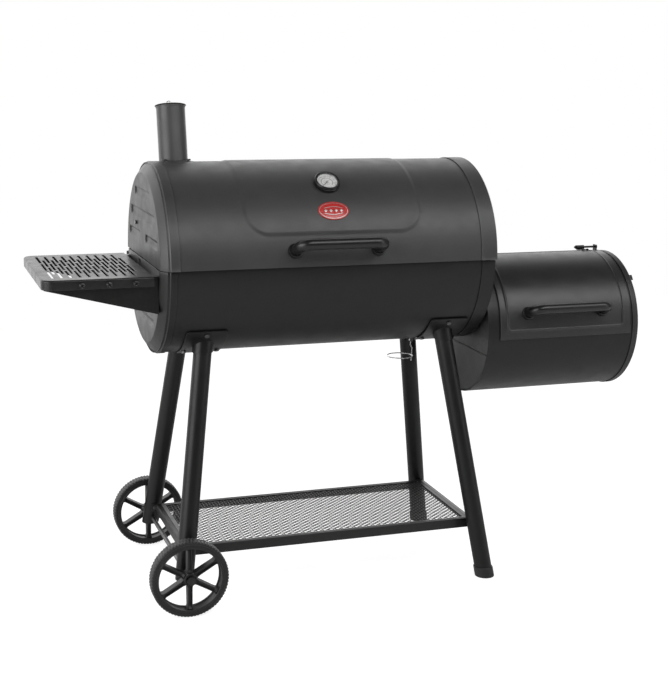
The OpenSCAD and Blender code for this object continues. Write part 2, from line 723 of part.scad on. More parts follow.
module drawer_handle() color(plastic) difference() {
    translate([fire_x1 - 0.4, 0, fire_z - 118]) rotate([90, 0, 90]) grip(110, drawer_pull - 5.6, 6, 14);
    box([0, -far, 0], [fire_x1 - 0.4, far, far]);
}

// ---- wire hanger for the grease can ----
module grease_hanger() color(zinc) {
    difference() {
        ycyl(5, -1.8, 1.8, drain_x, lug_z);
        ycyl(2 + fit, -5, 5, drain_x, lug_z);
    }
    p = [[drain_x, 0, lug_z - 3.5], [drain_x - 2, 0, lug_z - 14], [drain_x + 4, 0, lug_z - 24],
        [drain_x + 2, 0, lug_z - 58]];
    for (i = [0:2]) bar(p[i], p[i + 1] + (p[i + 1] - p[i]) * 0.08, 1.5);
    translate([drain_x - 33.5, 0, lug_z - 44]) rotate_extrude($fn = mid)
        translate([36, 0]) circle(r = 1.6, $fn = 8);
}

translate(shift) {
    base_shell();
    base_cap_left();
    base_cap_right();
    saddle_front_left();
    saddle_front_right();
    saddle_rear_left();
    saddle_rear_right();
    leg_front_left();
    leg_front_right();
    leg_rear_left();
    leg_rear_right();
    foot_cap_front();
    foot_cap_rear();
    wheel_axle();
    axle_hardware();
    bottom_shelf_frame();
    bottom_shelf_mesh();
    side_shelf();
    side_bracket_front();
    side_bracket_rear();
    tool_hooks();
    frame_bolts();
    grate_left();
    grate_middle();
    grate_right();
    grate_ledges();
    charcoal_tray();
    tray_stands();
    hinge_base_leaves();
    hinge_pins();
    duct_collar();
    firebox_shell();
    firebox_cap_left();
    firebox_cap_right();
    firebox_grate();
    firebox_hinge_brackets();
    lid_shell();
    lid_cap_left();
    lid_cap_right();
    lid_handle();
    lid_handle_bushings();
    hinge_lid_leaves();
    lid_bolts();
    thermometer_case();
    thermometer_dial();
    thermometer_lens();
    lid_badge();
    smokestack();
    thermometer_needle();
    stack_cap();
    warming_rack();
    rack_bail();
    firebox_door();
    firebox_door_handle();
    ash_drawer();
    drawer_handle();
    firebox_damper();
    wheel_front();
    wheel_rear();
    grease_hanger();
}
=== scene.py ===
"""Offset smoker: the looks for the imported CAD, in the same frame.

Shapes are worked out in millimetres in the barrel's own frame: x along the barrel from its
middle, y from the front to the rear, z up from the floor. place() turns them into metres in
the frame of the CAD.
"""

import json
from math import asin, copysign, cos, degrees, exp, hypot, pi, radians, sin, sqrt

import bmesh
import bpy
import numpy as np
from mathutils import Matrix, Vector


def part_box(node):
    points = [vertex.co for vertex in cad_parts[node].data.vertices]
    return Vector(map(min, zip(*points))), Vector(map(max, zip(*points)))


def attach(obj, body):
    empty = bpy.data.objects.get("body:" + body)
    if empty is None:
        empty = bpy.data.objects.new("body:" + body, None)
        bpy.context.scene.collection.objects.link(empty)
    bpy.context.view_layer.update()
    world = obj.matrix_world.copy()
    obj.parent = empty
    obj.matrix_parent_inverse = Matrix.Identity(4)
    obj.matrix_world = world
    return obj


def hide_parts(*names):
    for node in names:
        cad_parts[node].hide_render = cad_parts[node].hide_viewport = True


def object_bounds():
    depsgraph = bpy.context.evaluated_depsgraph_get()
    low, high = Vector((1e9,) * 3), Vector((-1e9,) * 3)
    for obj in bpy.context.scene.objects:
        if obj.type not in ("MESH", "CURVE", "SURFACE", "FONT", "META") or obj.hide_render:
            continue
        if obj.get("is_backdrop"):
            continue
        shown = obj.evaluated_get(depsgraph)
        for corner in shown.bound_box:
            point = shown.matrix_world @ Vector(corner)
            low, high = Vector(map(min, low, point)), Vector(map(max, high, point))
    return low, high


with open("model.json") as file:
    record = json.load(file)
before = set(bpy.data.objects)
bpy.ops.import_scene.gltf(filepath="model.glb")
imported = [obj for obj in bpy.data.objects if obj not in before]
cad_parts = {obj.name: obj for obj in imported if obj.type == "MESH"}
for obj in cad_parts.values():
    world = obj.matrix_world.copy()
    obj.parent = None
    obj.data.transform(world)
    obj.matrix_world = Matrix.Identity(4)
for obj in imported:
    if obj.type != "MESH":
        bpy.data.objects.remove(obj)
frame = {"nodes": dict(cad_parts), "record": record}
CAD_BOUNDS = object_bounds()
MM = 0.001

# ---- driving sizes, read from the frame ----
CAP_LO, CAP_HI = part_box("base_cap_left")
CAP_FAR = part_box("base_cap_right")[1]
LID_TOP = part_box("lid_cap_left")[1].z
FIRE_LO, FIRE_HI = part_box("firebox_cap_right")
ORIGIN = Vector(((CAP_LO.x + CAP_FAR.x) / 2, (CAP_LO.y + CAP_HI.y) / 2, 0))
HALF = (CAP_FAR.x - CAP_LO.x) / 2 / MM
BASE_R = (CAP_HI.y - CAP_LO.y) / 2 / MM
AXIS = CAP_LO.z / MM + BASE_R
LID_R = LID_TOP / MM - AXIS
FIRE_R = (FIRE_HI.y - FIRE_LO.y) / 2 / MM
FIRE_Z = FIRE_HI.z / MM - FIRE_R
FIRE_X0 = (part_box("firebox_cap_left")[1].x - ORIGIN.x) / MM - 16
FIRE_X1 = FIRE_X0 + 464
SHEET = 2.0
LID_SKIN = LID_R - SHEET - 0.3
BASE_SKIN = BASE_R - SHEET - 0.3
WRAP = 40.0
ROUND = 16.0
LID_RIM = (0.4, 29.0, 22.0)
BASE_RIM = (0.2, 31.0, 23.0)
PLAIN_RIM = (0.0, 3.0, 3.0)
FITTINGS_X = 3.0
SEAM_Z = FIRE_Z - 56
DUCT_Z = 749.0
DOOR_R = FIRE_R + 1
DOOR_X0 = FIRE_X0 + 34.5
DOOR_X1 = FIRE_X1 - 25.5


def place(p):
    """A point in millimetres in the barrel's frame, as metres in the CAD's frame."""
    return Vector((ORIGIN.x + p[0] * MM, ORIGIN.y + p[1] * MM, p[2] * MM))


def polar(r, t, cx=0.0, cy=0.0):
    """Point on a circle about (cx, cy); t is in radians."""
    return (cx + r * cos(t), cy + r * sin(t))


def turn_steps(n):
    return [2 * pi * i / n for i in range(n)]


# ---- mesh helpers ----
class Shape:
    """Vertices and faces of one piece, in millimetres."""

    def __init__(self):
        self.verts = []
        self.faces = []
        self.slots = []

    def loft(self, rings, closed=True, ends=(False, False), mat=0):
        """Quads between rings of equal length; ends are filled where asked."""
        start, n = len(self.verts), len(rings[0])
        for ring in rings:
            self.verts.extend(tuple(p) for p in ring)
        for i in range(len(rings) - 1):
            for j in range(n if closed else n - 1):
                a, b = start + i * n + j, start + i * n + (j + 1) % n
                self.faces.append((a, b, b + n, a + n))
                self.slots.append(mat)
        if ends[0]:
            self.faces.append(tuple(start + j for j in reversed(range(n))))
            self.slots.append(mat)
        if ends[1]:
            last = start + (len(rings) - 1) * n
            self.faces.append(tuple(last + j for j in range(n)))
            self.slots.append(mat)
        return self

    def add(self, other, matrix=None):
        start = len(self.verts)
        for p in other.verts:
            self.verts.append(tuple(matrix @ Vector(p)) if matrix else p)
        for face, slot in zip(other.faces, other.slots):
            self.faces.append(tuple(i + start for i in face))
            self.slots.append(slot)
        return self

    def bend(self, f):
        self.verts = [tuple(f(*p)) for p in self.verts]
        return self


def piece(name, shape, mats, body, stands_for=(), slot=None, smooth=38.0, bevel=0.0,
          sheet=0.0, outward=None, weld=True):
    """Makes an object from a shape, with its material, its body and the CAD node it replaces."""
    mesh = bpy.data.meshes.new(name)
    mesh.from_pydata([place(p) for p in shape.verts], [], shape.faces)
    for poly, index in zip(mesh.polygons, shape.slots):
        poly.material_index = index
    bm = bmesh.new()
    bm.from_mesh(mesh)
    if weld:
        bmesh.ops.remove_doubles(bm, verts=bm.verts, dist=0.00002)
    bmesh.ops.recalc_face_normals(bm, faces=bm.faces)
    if outward:
        score = sum(f.calc_area() * f.normal.dot(Vector(outward(f.calc_center_median()))) for f in bm.faces)
        if score < 0:
            bmesh.ops.reverse_faces(bm, faces=bm.faces)
    bm.to_mesh(mesh)
    bm.free()
    mesh.shade_smooth()
    if not bevel:
        mesh.set_sharp_from_angle(angle=radians(smooth))
    obj = bpy.data.objects.new(name, mesh)
    bpy.context.scene.collection.objects.link(obj)
    for m in mats if isinstance(mats, (list, tuple)) else [mats]:
        mesh.materials.append(m)
    if sheet:
        mod = obj.modifiers.new("Thickness", "SOLIDIFY")
        mod.thickness = sheet * MM
        mod.offset = -1
        mod.use_even_offset = True
    finish_edges(obj, bevel, smooth)
    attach(obj, body)
    if stands_for:
        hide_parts(*stands_for)
        slot = slot or SLOT_OF[stands_for[0]]
    return obj


def finish_edges(obj, bevel, smooth=38.0):
    if bevel:
        mod = obj.modifiers.new("Edges", "BEVEL")
        mod.width = bevel * MM
        mod.segments = 2
        mod.limit_method = "ANGLE"
        mod.angle_limit = radians(smooth)
    mod = obj.modifiers.new("Normals", "WEIGHTED_NORMAL")
    mod.keep_sharp = True
    mod.weight = 80


SLOT_OF = {s["node"]: s["material_slot"] for s in frame["record"]["subparts"]}


def wrapped(z_axis, sheet=SHEET):
    """How piece() finishes a sheet wrapped round a level axis at that height."""
    return dict(sheet=sheet, smooth=50, outward=lambda c: (0, c.y - ORIGIN.y, c.z - z_axis * MM))


def on_cyl(x, a, r, z_axis=AXIS):
    """Point on a cylinder along x; a is in degrees up from the horizontal front."""
    t = radians(a)
    return (x, -r * cos(t), z_axis + r * sin(t))


def spread(a, b, n):
    return [a + (b - a) * i / (n - 1) for i in range(n)]


def stations(a, b, step, extra=()):
    """Even places from a to b, with finer ones around each extra place."""
    out = set(round(v, 3) for v in spread(a, b, max(2, int(round((b - a) / step)) + 1)))
    for c, reach, fine in extra:
        for v in np.arange(c - reach, c + reach + fine / 2, fine):
            if a < v < b:
                out.add(round(float(v), 3))
    return sorted(out)


def smoothstep(v):
    v = min(1.0, max(0.0, v))
    return v * v * (3 - 2 * v)


def rounded_gap(x, y, w, h, r):
    """Signed distance from a point to a rounded rectangle; negative inside."""
    qx, qy = abs(x) - w / 2 + r, abs(y) - h / 2 + r
    return hypot(max(qx, 0), max(qy, 0)) + min(max(qx, qy), 0) - r


def rounded_loop(w, h, r, n=6, cx=0.0, cy=0.0):
    """Rounded rectangle outline, counter-clockwise, n+1 points a corner."""
    out = []
    for k, (sx, sy) in enumerate([(1, 1), (-1, 1), (-1, -1), (1, -1)]):
        for i in range(n + 1):
            t = radians(90 * k + 90 * i / n)
            out.append(polar(r, t, cx + sx * (w / 2 - r), cy + sy * (h / 2 - r)))
    return out


def circle_loop(r, n=48, cx=0.0, cy=0.0):
    return [polar(r, t, cx, cy) for t in turn_steps(n)]


def revolve(profile, frame_matrix, n=64, closed=False, wave=None):
    """Turns (radius, height) points about local z of the frame."""
    rings = []
    for t in turn_steps(n):
        ring = []
        for k, (r, h) in enumerate(profile):
            rr = r + (wave(t, k) if wave else 0)
            ring.append(frame_matrix @ Vector((*polar(rr, t), h)))
        rings.append(ring)
    return Shape().loft(rings + rings[:1], closed=closed)


def axes(origin, z_dir, x_dir=(1, 0, 0)):
    """Frame with its z along z_dir and x as near as can be to x_dir."""
    z = Vector(z_dir).normalized()
    y = z.cross(Vector(x_dir)).normalized()
    x = y.cross(z)
    m = Matrix((x, y, z)).transposed().to_4x4()
    m.translation = Vector(origin)
    return m


def tube(path, radius, n=24):
    """Round rod swept along points, with parallel transport."""
    pts = [Vector(p) for p in path]
    rings = []
    normal = None
    for i, p in enumerate(pts):
        ahead = (pts[min(i + 1, len(pts) - 1)] - pts[max(i - 1, 0)]).normalized()
        if normal is None:
            normal = ahead.cross(Vector((0, 0, 1))).normalized()
            if normal.length < 0.5:
                normal = ahead.cross(Vector((1, 0, 0))).normalized()
        else:
            normal = (normal - ahead * normal.dot(ahead)).normalized()
        side = ahead.cross(normal)
        rings.append([p + normal * u + side * v for u, v in circle_loop(radius, n)])
    return Shape().loft(rings, ends=(True, True))


def arc(center, a, b, t0, t1, n):
    """Points about center from t0 to t1 degrees in the plane of vectors a and b."""
    c, a, b = Vector(center), Vector(a), Vector(b)
    return [c + a * cos(radians(t)) + b * sin(radians(t)) for t in spread(t0, t1, n)]


def block(lo, hi):
    (x0, y0, z0), (x1, y1, z1) = lo, hi
    ring = [(x0, y0), (x1, y0), (x1, y1), (x0, y1)]
    return Shape().loft([[(x, y, z0) for x, y in ring], [(x, y, z1) for x, y in ring]], ends=(True, True))


def cyl_sheet(xs, angles, radius, z_axis, skip=None):
    """Grid on a cylinder; radius may be a function of x and the angle."""
    shape = Shape()
    n = len(angles)
    for x in xs:
        for a in angles:
            r = radius(x, a) if callable(radius) else radius
            shape.verts.append(on_cyl(x, a, r, z_axis))
    for i in range(len(xs) - 1):
        for j in range(n - 1):
            if skip and skip((xs[i] + xs[i + 1]) / 2, (angles[j] + angles[j + 1]) / 2):
                continue
            a = i * n + j
            shape.faces.append((a, a + 1, a + n + 1, a + n))
            shape.slots.append(0)
    return shape


def pressed(outline, features, to3d):
    """Flat face inside an outline. Each feature is a list of (loop, depth, filled at its end)."""
    bm = bmesh.new()
    edges = []

    def chain(points, depth):
        vs = [bm.verts.new((x, y, depth)) for x, y in points]
        return vs, [bm.edges.new((vs[i], vs[(i + 1) % len(vs)])) for i in range(len(vs))]

    edges += chain(outline, 0)[1]
    rows = []
    for loops, filled in features:
        first, e = chain(loops[0][0], 0)
        edges += e
        rows.append((first, loops[1:], filled))
    bmesh.ops.triangle_fill(bm, use_beauty=True, edges=edges)
    for ring, loops, filled in rows:
        for points, depth in loops:
            nxt = [bm.verts.new((x, y, depth)) for x, y in points]
            for i in range(len(ring)):
                j = (i + 1) % len(ring)
                bm.faces.new((ring[i], ring[j], nxt[j], nxt[i]))
            ring = nxt
        if filled:
            bm.faces.new(ring)
    shape = Shape()
    shape.verts = [tuple(to3d(*v.co)) for v in bm.verts]
    bm.verts.index_update()
    shape.faces = [tuple(v.index for v in f.verts) for f in bm.faces]
    shape.slots = [0] * len(shape.faces)
    bm.free()
    return shape


def recess(w, h, r, depth, slope, cx, cy):
    """A pressed panel with soft shoulders."""
    loops = []
    for share, d in ((0, 0), (0.25, 0.1), (0.5, 0.5), (0.75, 0.9), (1, 1)):
        i = slope * share
        loops.append((rounded_loop(w - 2 * i, h - 2 * i, max(r - i, 0.8), 6, cx, cy), depth * d))
    return loops, True


def hole(points_at):
    """An open hole whose edge turns down: points_at(inset) gives its outline."""
    return [(points_at(0), 0), (points_at(0.5), 0.25), (points_at(0.8), 0.9), (points_at(0.8), 2.0)], False


# ---- materials ----
def new_node(tree, kind, **values):
    """A shader node with its inputs set by name; _ stands for a space."""
    n = tree.nodes.new("ShaderNode" + kind)
    for key, value in values.items():
        n.inputs[key.replace("_", " ")].default_value = value
    return n


class Nodes:
    """Short names for building a node tree."""

    def __init__(self, name):
        self.mat = bpy.data.materials.new(name)
        self.mat.use_nodes = True
        self.tree = self.mat.node_tree
        self.shader = self.tree.nodes["Principled BSDF"]
        self.coord = new_node(self.tree, "TexCoord").outputs["Object"]

    def set(self, **values):
        for key, value in values.items():
            self.shader.inputs[key.replace("_", " ")].default_value = value

    def join(self, a, b):
        self.tree.links.new(a, b)

    def noise(self, scale, detail=3.0, rough=0.5):
        n = new_node(self.tree, "TexNoise", Scale=scale, Detail=detail, Roughness=rough, Distortion=0.0)
        self.join(self.coord, n.inputs["Vector"])
        return n.outputs["Fac"]

    def ramp(self, fac, stops):
        r = new_node(self.tree, "ValToRGB")
        ramp = r.color_ramp
        ramp.elements[0].position, ramp.elements[0].color = stops[0][0], stops[0][1]
        ramp.elements[1].position, ramp.elements[1].color = stops[-1][0], stops[-1][1]
        for pos, col in stops[1:-1]:
            ramp.elements.new(pos).color = col
        self.join(fac, r.inputs["Fac"])
        return r.outputs["Color"]

    def span(self, fac, lo, hi, src=(0.3, 0.7)):
        m = new_node(self.tree, "MapRange", From_Min=src[0], From_Max=src[1], To_Min=lo, To_Max=hi)
        self.join(fac, m.inputs["Value"])
        return m.outputs["Result"]

    def math(self, op, a, b):
        m = new_node(self.tree, "Math")
        m.operation = op
        for socket, value in zip(m.inputs, (a, b)):
            if isinstance(value, (int, float)):
                socket.default_value = value
            else:
                self.join(value, socket)
        return m.outputs[0]

    def mix(self, fac, a, b):
        m = new_node(self.tree, "Mix")
        m.data_type = "RGBA"
        for socket, value in ((m.inputs[0], fac), (m.inputs[6], a), (m.inputs[7], b)):
            if isinstance(value, (int, float, tuple)):
                socket.default_value = value
            else:
                self.join(value, socket)
        return m.outputs[2]

    def edges(self):
        """Mask of convex edges, broken up by noise."""
        g = new_node(self.tree, "NewGeometry")
        worn = self.span(g.outputs["Pointiness"], 0, 1, (0.53, 0.62))
        return self.math("MULTIPLY", worn, self.span(self.noise(90, 4), 0.2, 1.0))

    def bump(self, height, strength, distance):
        b = new_node(self.tree, "Bump", Strength=strength, Distance=distance)
        self.join(height, b.inputs["Height"])
        self.join(b.outputs["Normal"], self.shader.inputs["Normal"])

    def colour(self, out):
        self.join(out, self.shader.inputs["Base Color"])

    def rough(self, out):
        self.join(out, self.shader.inputs["Roughness"])


def grey(v, warm=0.0):
    return (v * (1 + warm), v, v * (1 - warm), 1)


def powder(name, tone, rough=0.5, peel=0.16, scale=620, warm=0.0, wear=0.5, spread_tone=0.08, shine=0.5):
    """Baked-on satin coat: orange peel, faint clouding, lighter worn edges."""
    k = Nodes(name)
    cloud = k.noise(7, 4, 0.6)
    fine = k.noise(scale, 2, 0.55)
    dark, light = grey(tone * (1 - spread_tone), warm), grey(tone * (1 + spread_tone), warm)
    base = k.ramp(cloud, [(0.3, dark), (0.7, light)])
    specks = k.span(k.noise(1700, 2, 0.6), 0, 0.22, (0.62, 0.8))
    base = k.mix(specks, base, grey(tone * 2.4, warm))
    base = k.mix(k.math("MULTIPLY", k.edges(), wear), base, grey(tone * 2.6 + 0.02, warm))
    k.colour(base)
    patch = k.math("ADD", k.math("MULTIPLY", k.noise(23, 3), 0.6), k.math("MULTIPLY", fine, 0.4))
    k.rough(k.span(patch, rough - 0.07, rough + 0.08))
    k.bump(fine, peel, 0.0004)
    k.set(Specular_IOR_Level=shine)
    return k.mat


def iron(name):
    k = Nodes(name)
    lumps = k.noise(260, 5, 0.65)
    rust = (0.05, 0.036, 0.026, 1)
    k.colour(k.ramp(k.noise(18, 5), [(0.3, grey(0.018)), (0.6, grey(0.035, 0.05)), (0.75, rust)]))
    k.rough(k.span(lumps, 0.55, 0.8))
    k.bump(lumps, 0.5, 0.0006)
    k.set(Metallic=0.35)
    return k.mat


def metal(name, tone, rough, scale=300, metallic=1.0):
    k = Nodes(name)
    grain = k.noise(scale, 4, 0.6)
    k.colour(k.ramp(k.noise(40, 3), [(0.3, grey(tone * 0.85)), (0.7, grey(tone * 1.1))]))
    k.rough(k.span(grain, rough - 0.1, rough + 0.12))
    k.bump(grain, 0.12, 0.0002)
    k.set(Metallic=metallic)
    return k.mat


def moulded(name, tone, rough, scale=1400, strength=0.2):
    """Moulded heat-proof plastic with fine grain."""
    k = Nodes(name)
    grain = k.noise(scale, 3, 0.6)
    base = k.ramp(k.noise(12, 4), [(0.3, grey(tone * 0.9)), (0.7, grey(tone * 1.12))])
    k.colour(k.mix(k.math("MULTIPLY", k.edges(), 0.35), base, grey(tone * 2.2 + 0.01)))
    patch = k.math("ADD", k.math("MULTIPLY", grain, 0.5), k.math("MULTIPLY", k.noise(30, 3), 0.5))
    k.rough(k.span(patch, rough - 0.06, rough + 0.08))
    k.bump(grain, strength, 0.0003)
    return k.mat


def enamel(name, colour, rough=0.3, coat=0.35):
    k = Nodes(name)
    dark = tuple(c * 0.8 for c in colour) + (1,)
    light = tuple(min(1, c * 1.12) for c in colour) + (1,)
    k.colour(k.ramp(k.noise(160, 4), [(0.35, dark), (0.65, light)]))
    k.rough(k.span(k.noise(420, 3), rough - 0.06, rough + 0.08))
    k.bump(k.noise(900, 2), 0.08, 0.0002)
    k.set(Coat_Weight=coat, Coat_Roughness=0.12)
    return k.mat


def sooty(name):
    """Inside of the chambers: matt, brown-black, with soot."""
    k = Nodes(name)
    soot = k.noise(9, 6, 0.65)
    k.colour(k.ramp(soot, [(0.3, grey(0.012)), (0.55, grey(0.022, 0.06)), (0.75, (0.05, 0.04, 0.03, 1))]))
    k.rough(k.span(k.noise(60, 4), 0.62, 0.85))
    k.bump(k.noise(500, 4, 0.7), 0.3, 0.0005)
    return k.mat


def clear_glass(name):
    k = Nodes(name)
    k.rough(k.span(k.noise(70, 3), 0.03, 0.07))
    k.colour(k.ramp(k.noise(8, 2), [(0.3, (0.95, 0.97, 0.98, 1)), (0.7, (1, 1, 1, 1))]))
    k.bump(k.noise(25, 1), 0.02, 0.0002)
    k.set(Alpha=0.12, IOR=1.5)
    return k.mat


def camera_split(tree, unseen, seen, output):
    """One shader for the light an object gets, another for what the camera sees."""
    mix = new_node(tree, "MixShader")
    join = tree.links.new
    join(new_node(tree, "LightPath").outputs["Is Camera Ray"], mix.inputs[0])
    join(unseen.outputs[0], mix.inputs[1])
    join(seen.outputs[0], mix.inputs[2])
    join(mix.outputs[0], output.inputs["Surface"])


def floor_white(name):
    k = Nodes(name)
    k.colour(k.ramp(k.noise(1.2, 3), [(0.3, grey(0.86)), (0.7, grey(0.90))]))
    k.rough(k.span(k.noise(5, 3), 0.75, 0.85))
    k.bump(k.noise(40, 2), 0.02, 0.001)
    k.set(Specular_IOR_Level=0.1)
    seen = new_node(k.tree, "BsdfDiffuse", Color=grey(0.5))
    lift = new_node(k.tree, "Emission", Strength=0.8)
    both = new_node(k.tree, "AddShader")
    k.join(seen.outputs[0], both.inputs[0])
    k.join(lift.outputs[0], both.inputs[1])
    camera_split(k.tree, k.shader, both, k.tree.nodes["Material Output"])
    return k.mat


LID_COAT = powder("lid_coat", 0.040, 0.44)
DOOR_COAT = powder("door_coat", 0.016, 0.36, shine=0.55)
BODY_COAT = powder("body_coat", 0.007, 0.42, shine=0.36)
RING_COAT = powder("ring_coat", 0.020, 0.44, shine=0.4)
CAP_COAT = powder("cap_coat", 0.016, 0.46, warm=0.02, shine=0.34)
# Coat for the lid caps' chamfer band: the pan's own paint made lighter, a painted highlight for the bright
# band the chamfer catches.
RIM_PAINTED_HIGHLIGHT_COAT = powder("rim_painted_highlight_coat", 0.055, 0.42, shine=0.45)
BASE_CAP_COAT = powder("base_cap_coat", 0.014, 0.42, warm=0.02, shine=0.4)
SHELF_COAT = powder("shelf_coat", 0.008, 0.36, warm=0.01, scale=800, shine=0.4)
FRAME_COAT = powder("frame_coat", 0.005, 0.38, scale=700, shine=0.34)
STACK_COAT = powder("stack_coat", 0.054, 0.40)
SOOT = sooty("soot_coat")
IRON = iron("seasoned_iron")
DARK_ZINC = metal("dark_zinc", 0.16, 0.38)
STUD = metal("black_stud", 0.05, 0.3)
BRIGHT_WIRE = metal("nickel_wire", 0.62, 0.28, scale=500)
BEZEL = metal("bezel_metal", 0.7, 0.22, scale=600)
HANDLE = moulded("handle_black", 0.005, 0.32, 1100, 0.12)
FOOT = moulded("foot_black", 0.009, 0.5)
WHEEL = moulded("wheel_black", 0.010, 0.46, 900, 0.2)
DIAL = enamel("dial_white", (0.7, 0.7, 0.68), 0.5, 0.0)
INK = enamel("dial_ink", (0.03, 0.03, 0.035), 0.45, 0.0)
BADGE_RED = enamel("badge_red", (0.5, 0.018, 0.016), 0.28, 0.5)
BADGE_RIM = metal("badge_rim", 0.5, 0.34, scale=700)
BAND = metal("band_grey", 0.25, 0.5, metallic=0.0)
LENS = clear_glass("lens_glass")
FLOOR = floor_white("studio_floor")


# ---- barrel ----
PANEL = dict(cx=5.0, mid=62.5, w=472.0, h=380.0, r=62.0, lift=2.2, slope=13.0)


def lid_radius_at(x, a):
    s = LID_R * radians(a - PANEL["mid"])
    gap = rounded_gap(x - PANEL["cx"], s, PANEL["w"], PANEL["h"], PANEL["r"])
    lift = PANEL["lift"] * smoothstep(0.5 - gap / PANEL["slope"])
    return LID_SKIN + lift


def build_lid_shell():
    left, right = -HALF + ROUND, HALF - ROUND
    edge_l, edge_r = PANEL["cx"] - PANEL["w"] / 2, PANEL["cx"] + PANEL["w"] / 2
    xs = stations(left, right, 9, [(edge_l + 32, 44, 2.5), (edge_r - 32, 44, 2.5)])
    low = degrees(asin(5 / LID_SKIN))
    angles = stations(low, 180 - low, 1.7, [(2.8, 1.8, 0.25), (27, 10, 0.5), (98, 10, 0.5)])
    shape = cyl_sheet(xs, angles, lid_radius_at, AXIS)
    piece("lid_skin", shape, LID_COAT, "lid", ["lid_shell"], **wrapped(AXIS))


def round_outline(r, angles):
    """Points (y, z) on a circle about the axis, by angles up from the horizontal front."""
    return [(-r * cos(radians(a)), r * sin(radians(a))) for a in angles]


def cap_shape(r, z_low, z_high, features, side, rim, wrap=WRAP):
    """Half of a pressed barrel cap between two heights from the axis; rim is inset, drop and width."""
    inset, drop, width = rim
    upper = z_low > -r
    cut = z_low if upper else z_high
    n = 97

    def ends(rr):
        a = degrees(asin(cut / rr))
        return (a, 180 - a) if upper else (a, -180 - a)

    def ring(rr, x):
        return [on_cyl(side * (-HALF + x), a, rr) for a in spread(*ends(rr), n)]

    shape = Shape()
    bevel = [(0.0, 0.0), (0.04, 0.012), (0.2, 0.15), (0.5, 0.45), (0.8, 0.77), (0.97, 0.97), (1.0, 1.02)]
    band = [ring(r - drop + drop * u, inset + (width - inset) * v) for u, v in bevel]
    flange = [ring(r, x) for x in (26.0, 32.0, wrap - 0.6)] + [ring(r - 0.5, wrap)]
    # The chamfer band takes material slot 2; on the lid caps that slot holds the lighter coat painted as a
    # highlight.
    shape.loft(band, closed=False, mat=2).loft(band[-1:] + flange, closed=False, mat=1)
    rr = r - drop
    outline = round_outline(rr, spread(*ends(rr), n))
    shape.add(pressed(outline, features, lambda y, z, d: (side * (-HALF + inset + d), y, AXIS + z)))
    return shape


def rib(y0, y1, z0, z1):
    return recess(y1 - y0, z1 - z0, 11, 3.8, 9.5, (y0 + y1) / 2, (z0 + z1) / 2)


def through(loop):
    """A hole straight through the sheet."""
    return [(loop, 0), (loop, SHEET)], False


def pin_hole(y, z):
    return through(circle_loop(3.4, 16, y, z))


def build_barrel_caps():
    lid_ribs = [rib(-105, 105, 161, 189), rib(-165, 165, 104, 135), rib(-194, -32, 47, 75),
                rib(32, 194, 47, 75), pin_hole(84, 90)]
    base_ribs = [rib(-194, -32, -74, -46), rib(32, 194, -74, -46), rib(-132, 132, -161, -137)]
    duct = through(rounded_loop(204, 90, 8, 5, 0, DUCT_Z - AXIS))
    rack_pin = pin_hole(48, -9)
    # Lid cap slots: face, flange, chamfer band; the band's lighter coat is a painted highlight.
    lid_mats = [CAP_COAT, LID_COAT, RIM_PAINTED_HIGHLIGHT_COAT]
    base_mats = [BASE_CAP_COAT, BODY_COAT, BASE_CAP_COAT]
    rims = ((-1, "left", LID_RIM, BASE_RIM, base_ribs), (1, "right", PLAIN_RIM, PLAIN_RIM, [duct]))
    for side, name, lid_rim, base_rim, features in rims:
        look = dict(sheet=SHEET, smooth=30, outward=lambda c, side=side: (side, 0, 0))
        lid = cap_shape(LID_R, 5, LID_R, lid_ribs, -side, lid_rim, WRAP + 6)
        piece(f"lid_end_{name}", lid, lid_mats, "lid", [f"lid_cap_{name}"], **look)
        base = cap_shape(BASE_R, -BASE_R, 2, features + [rack_pin], -side, base_rim)
        piece(f"base_end_{name}", base, base_mats, "stand", [f"base_cap_{name}"], **look)


def build_base_shell():
    ends = HALF - ROUND
    xs = stations(-ends, ends, 14)
    top = degrees(asin(8 / BASE_SKIN))
    angles = stations(-180 - top, top, 2.2, [(top - 2, 3, 0.4)])

    def radius(x, a):
        hem = -2.2 * smoothstep((a - top + 1.0) / 0.9) if a > -90 else 0.0
        return BASE_SKIN + hem

    shape = cyl_sheet(xs, angles, radius, AXIS)
    piece("base_skin", shape, BODY_COAT, "stand", ["base_shell"], **wrapped(AXIS))


def build_drain():
    lug_x, lug_z, spout_x = 311, 630, 289
    lug = Shape()
    for s in (-1, 1):
        lug.add(block((lug_x - 5, s * 3.5 - 1, lug_z - 4), (lug_x + 5, s * 3.5 + 1, lug_z + 12)))
    lug.add(tube([(lug_x, -6, lug_z), (lug_x, 6, lug_z)], 2, 16))
    profile = [(0, 6.5), (2.4, 6.2), (3.2, 5.4), (3.2, 4.6)]
    lug.add(revolve(profile, axes((lug_x, 0, lug_z), (0, 1, 0)), 20))
    piece("drain_lugs", lug, DARK_ZINC, "stand", slot="zinc_steel", bevel=0.3)
    profile = [(7.5, 0), (7.5, 6), (9, 7.5), (9, 9), (6.6, 9), (6, 7), (6, 0)]
    spout = revolve(profile, axes((spout_x, 0, lug_z + 0.5), (0, 0, 1)), 28)
    piece("drain_spout", spout, BODY_COAT, "stand", smooth=30)


# ---- lid fittings ----
GAUGE_R = 34.5
GAUGE_ANGLE = 52.8
BADGE_ANGLE = 33.4


def handle_path(foot, direction, along, span, reach, bend, start, steps):
    """Centre line of a U-shaped grip on foot; steps is the points in each leg and each bend."""
    d, x, f = Vector(direction).normalized(), Vector(along), Vector(foot)
    path = []
    for s in (-1, 1):
        corner = f + x * (s * (span / 2 - bend)) + d * (reach - bend)
        side = [f + x * (s * span / 2) + d * t for t in spread(start, reach - bend, steps[0])]
        part = side + arc(corner, x * (s * bend), d * bend, 0, 90, steps[1])[1:]
        path += part if s < 0 else part[::-1]
    return path


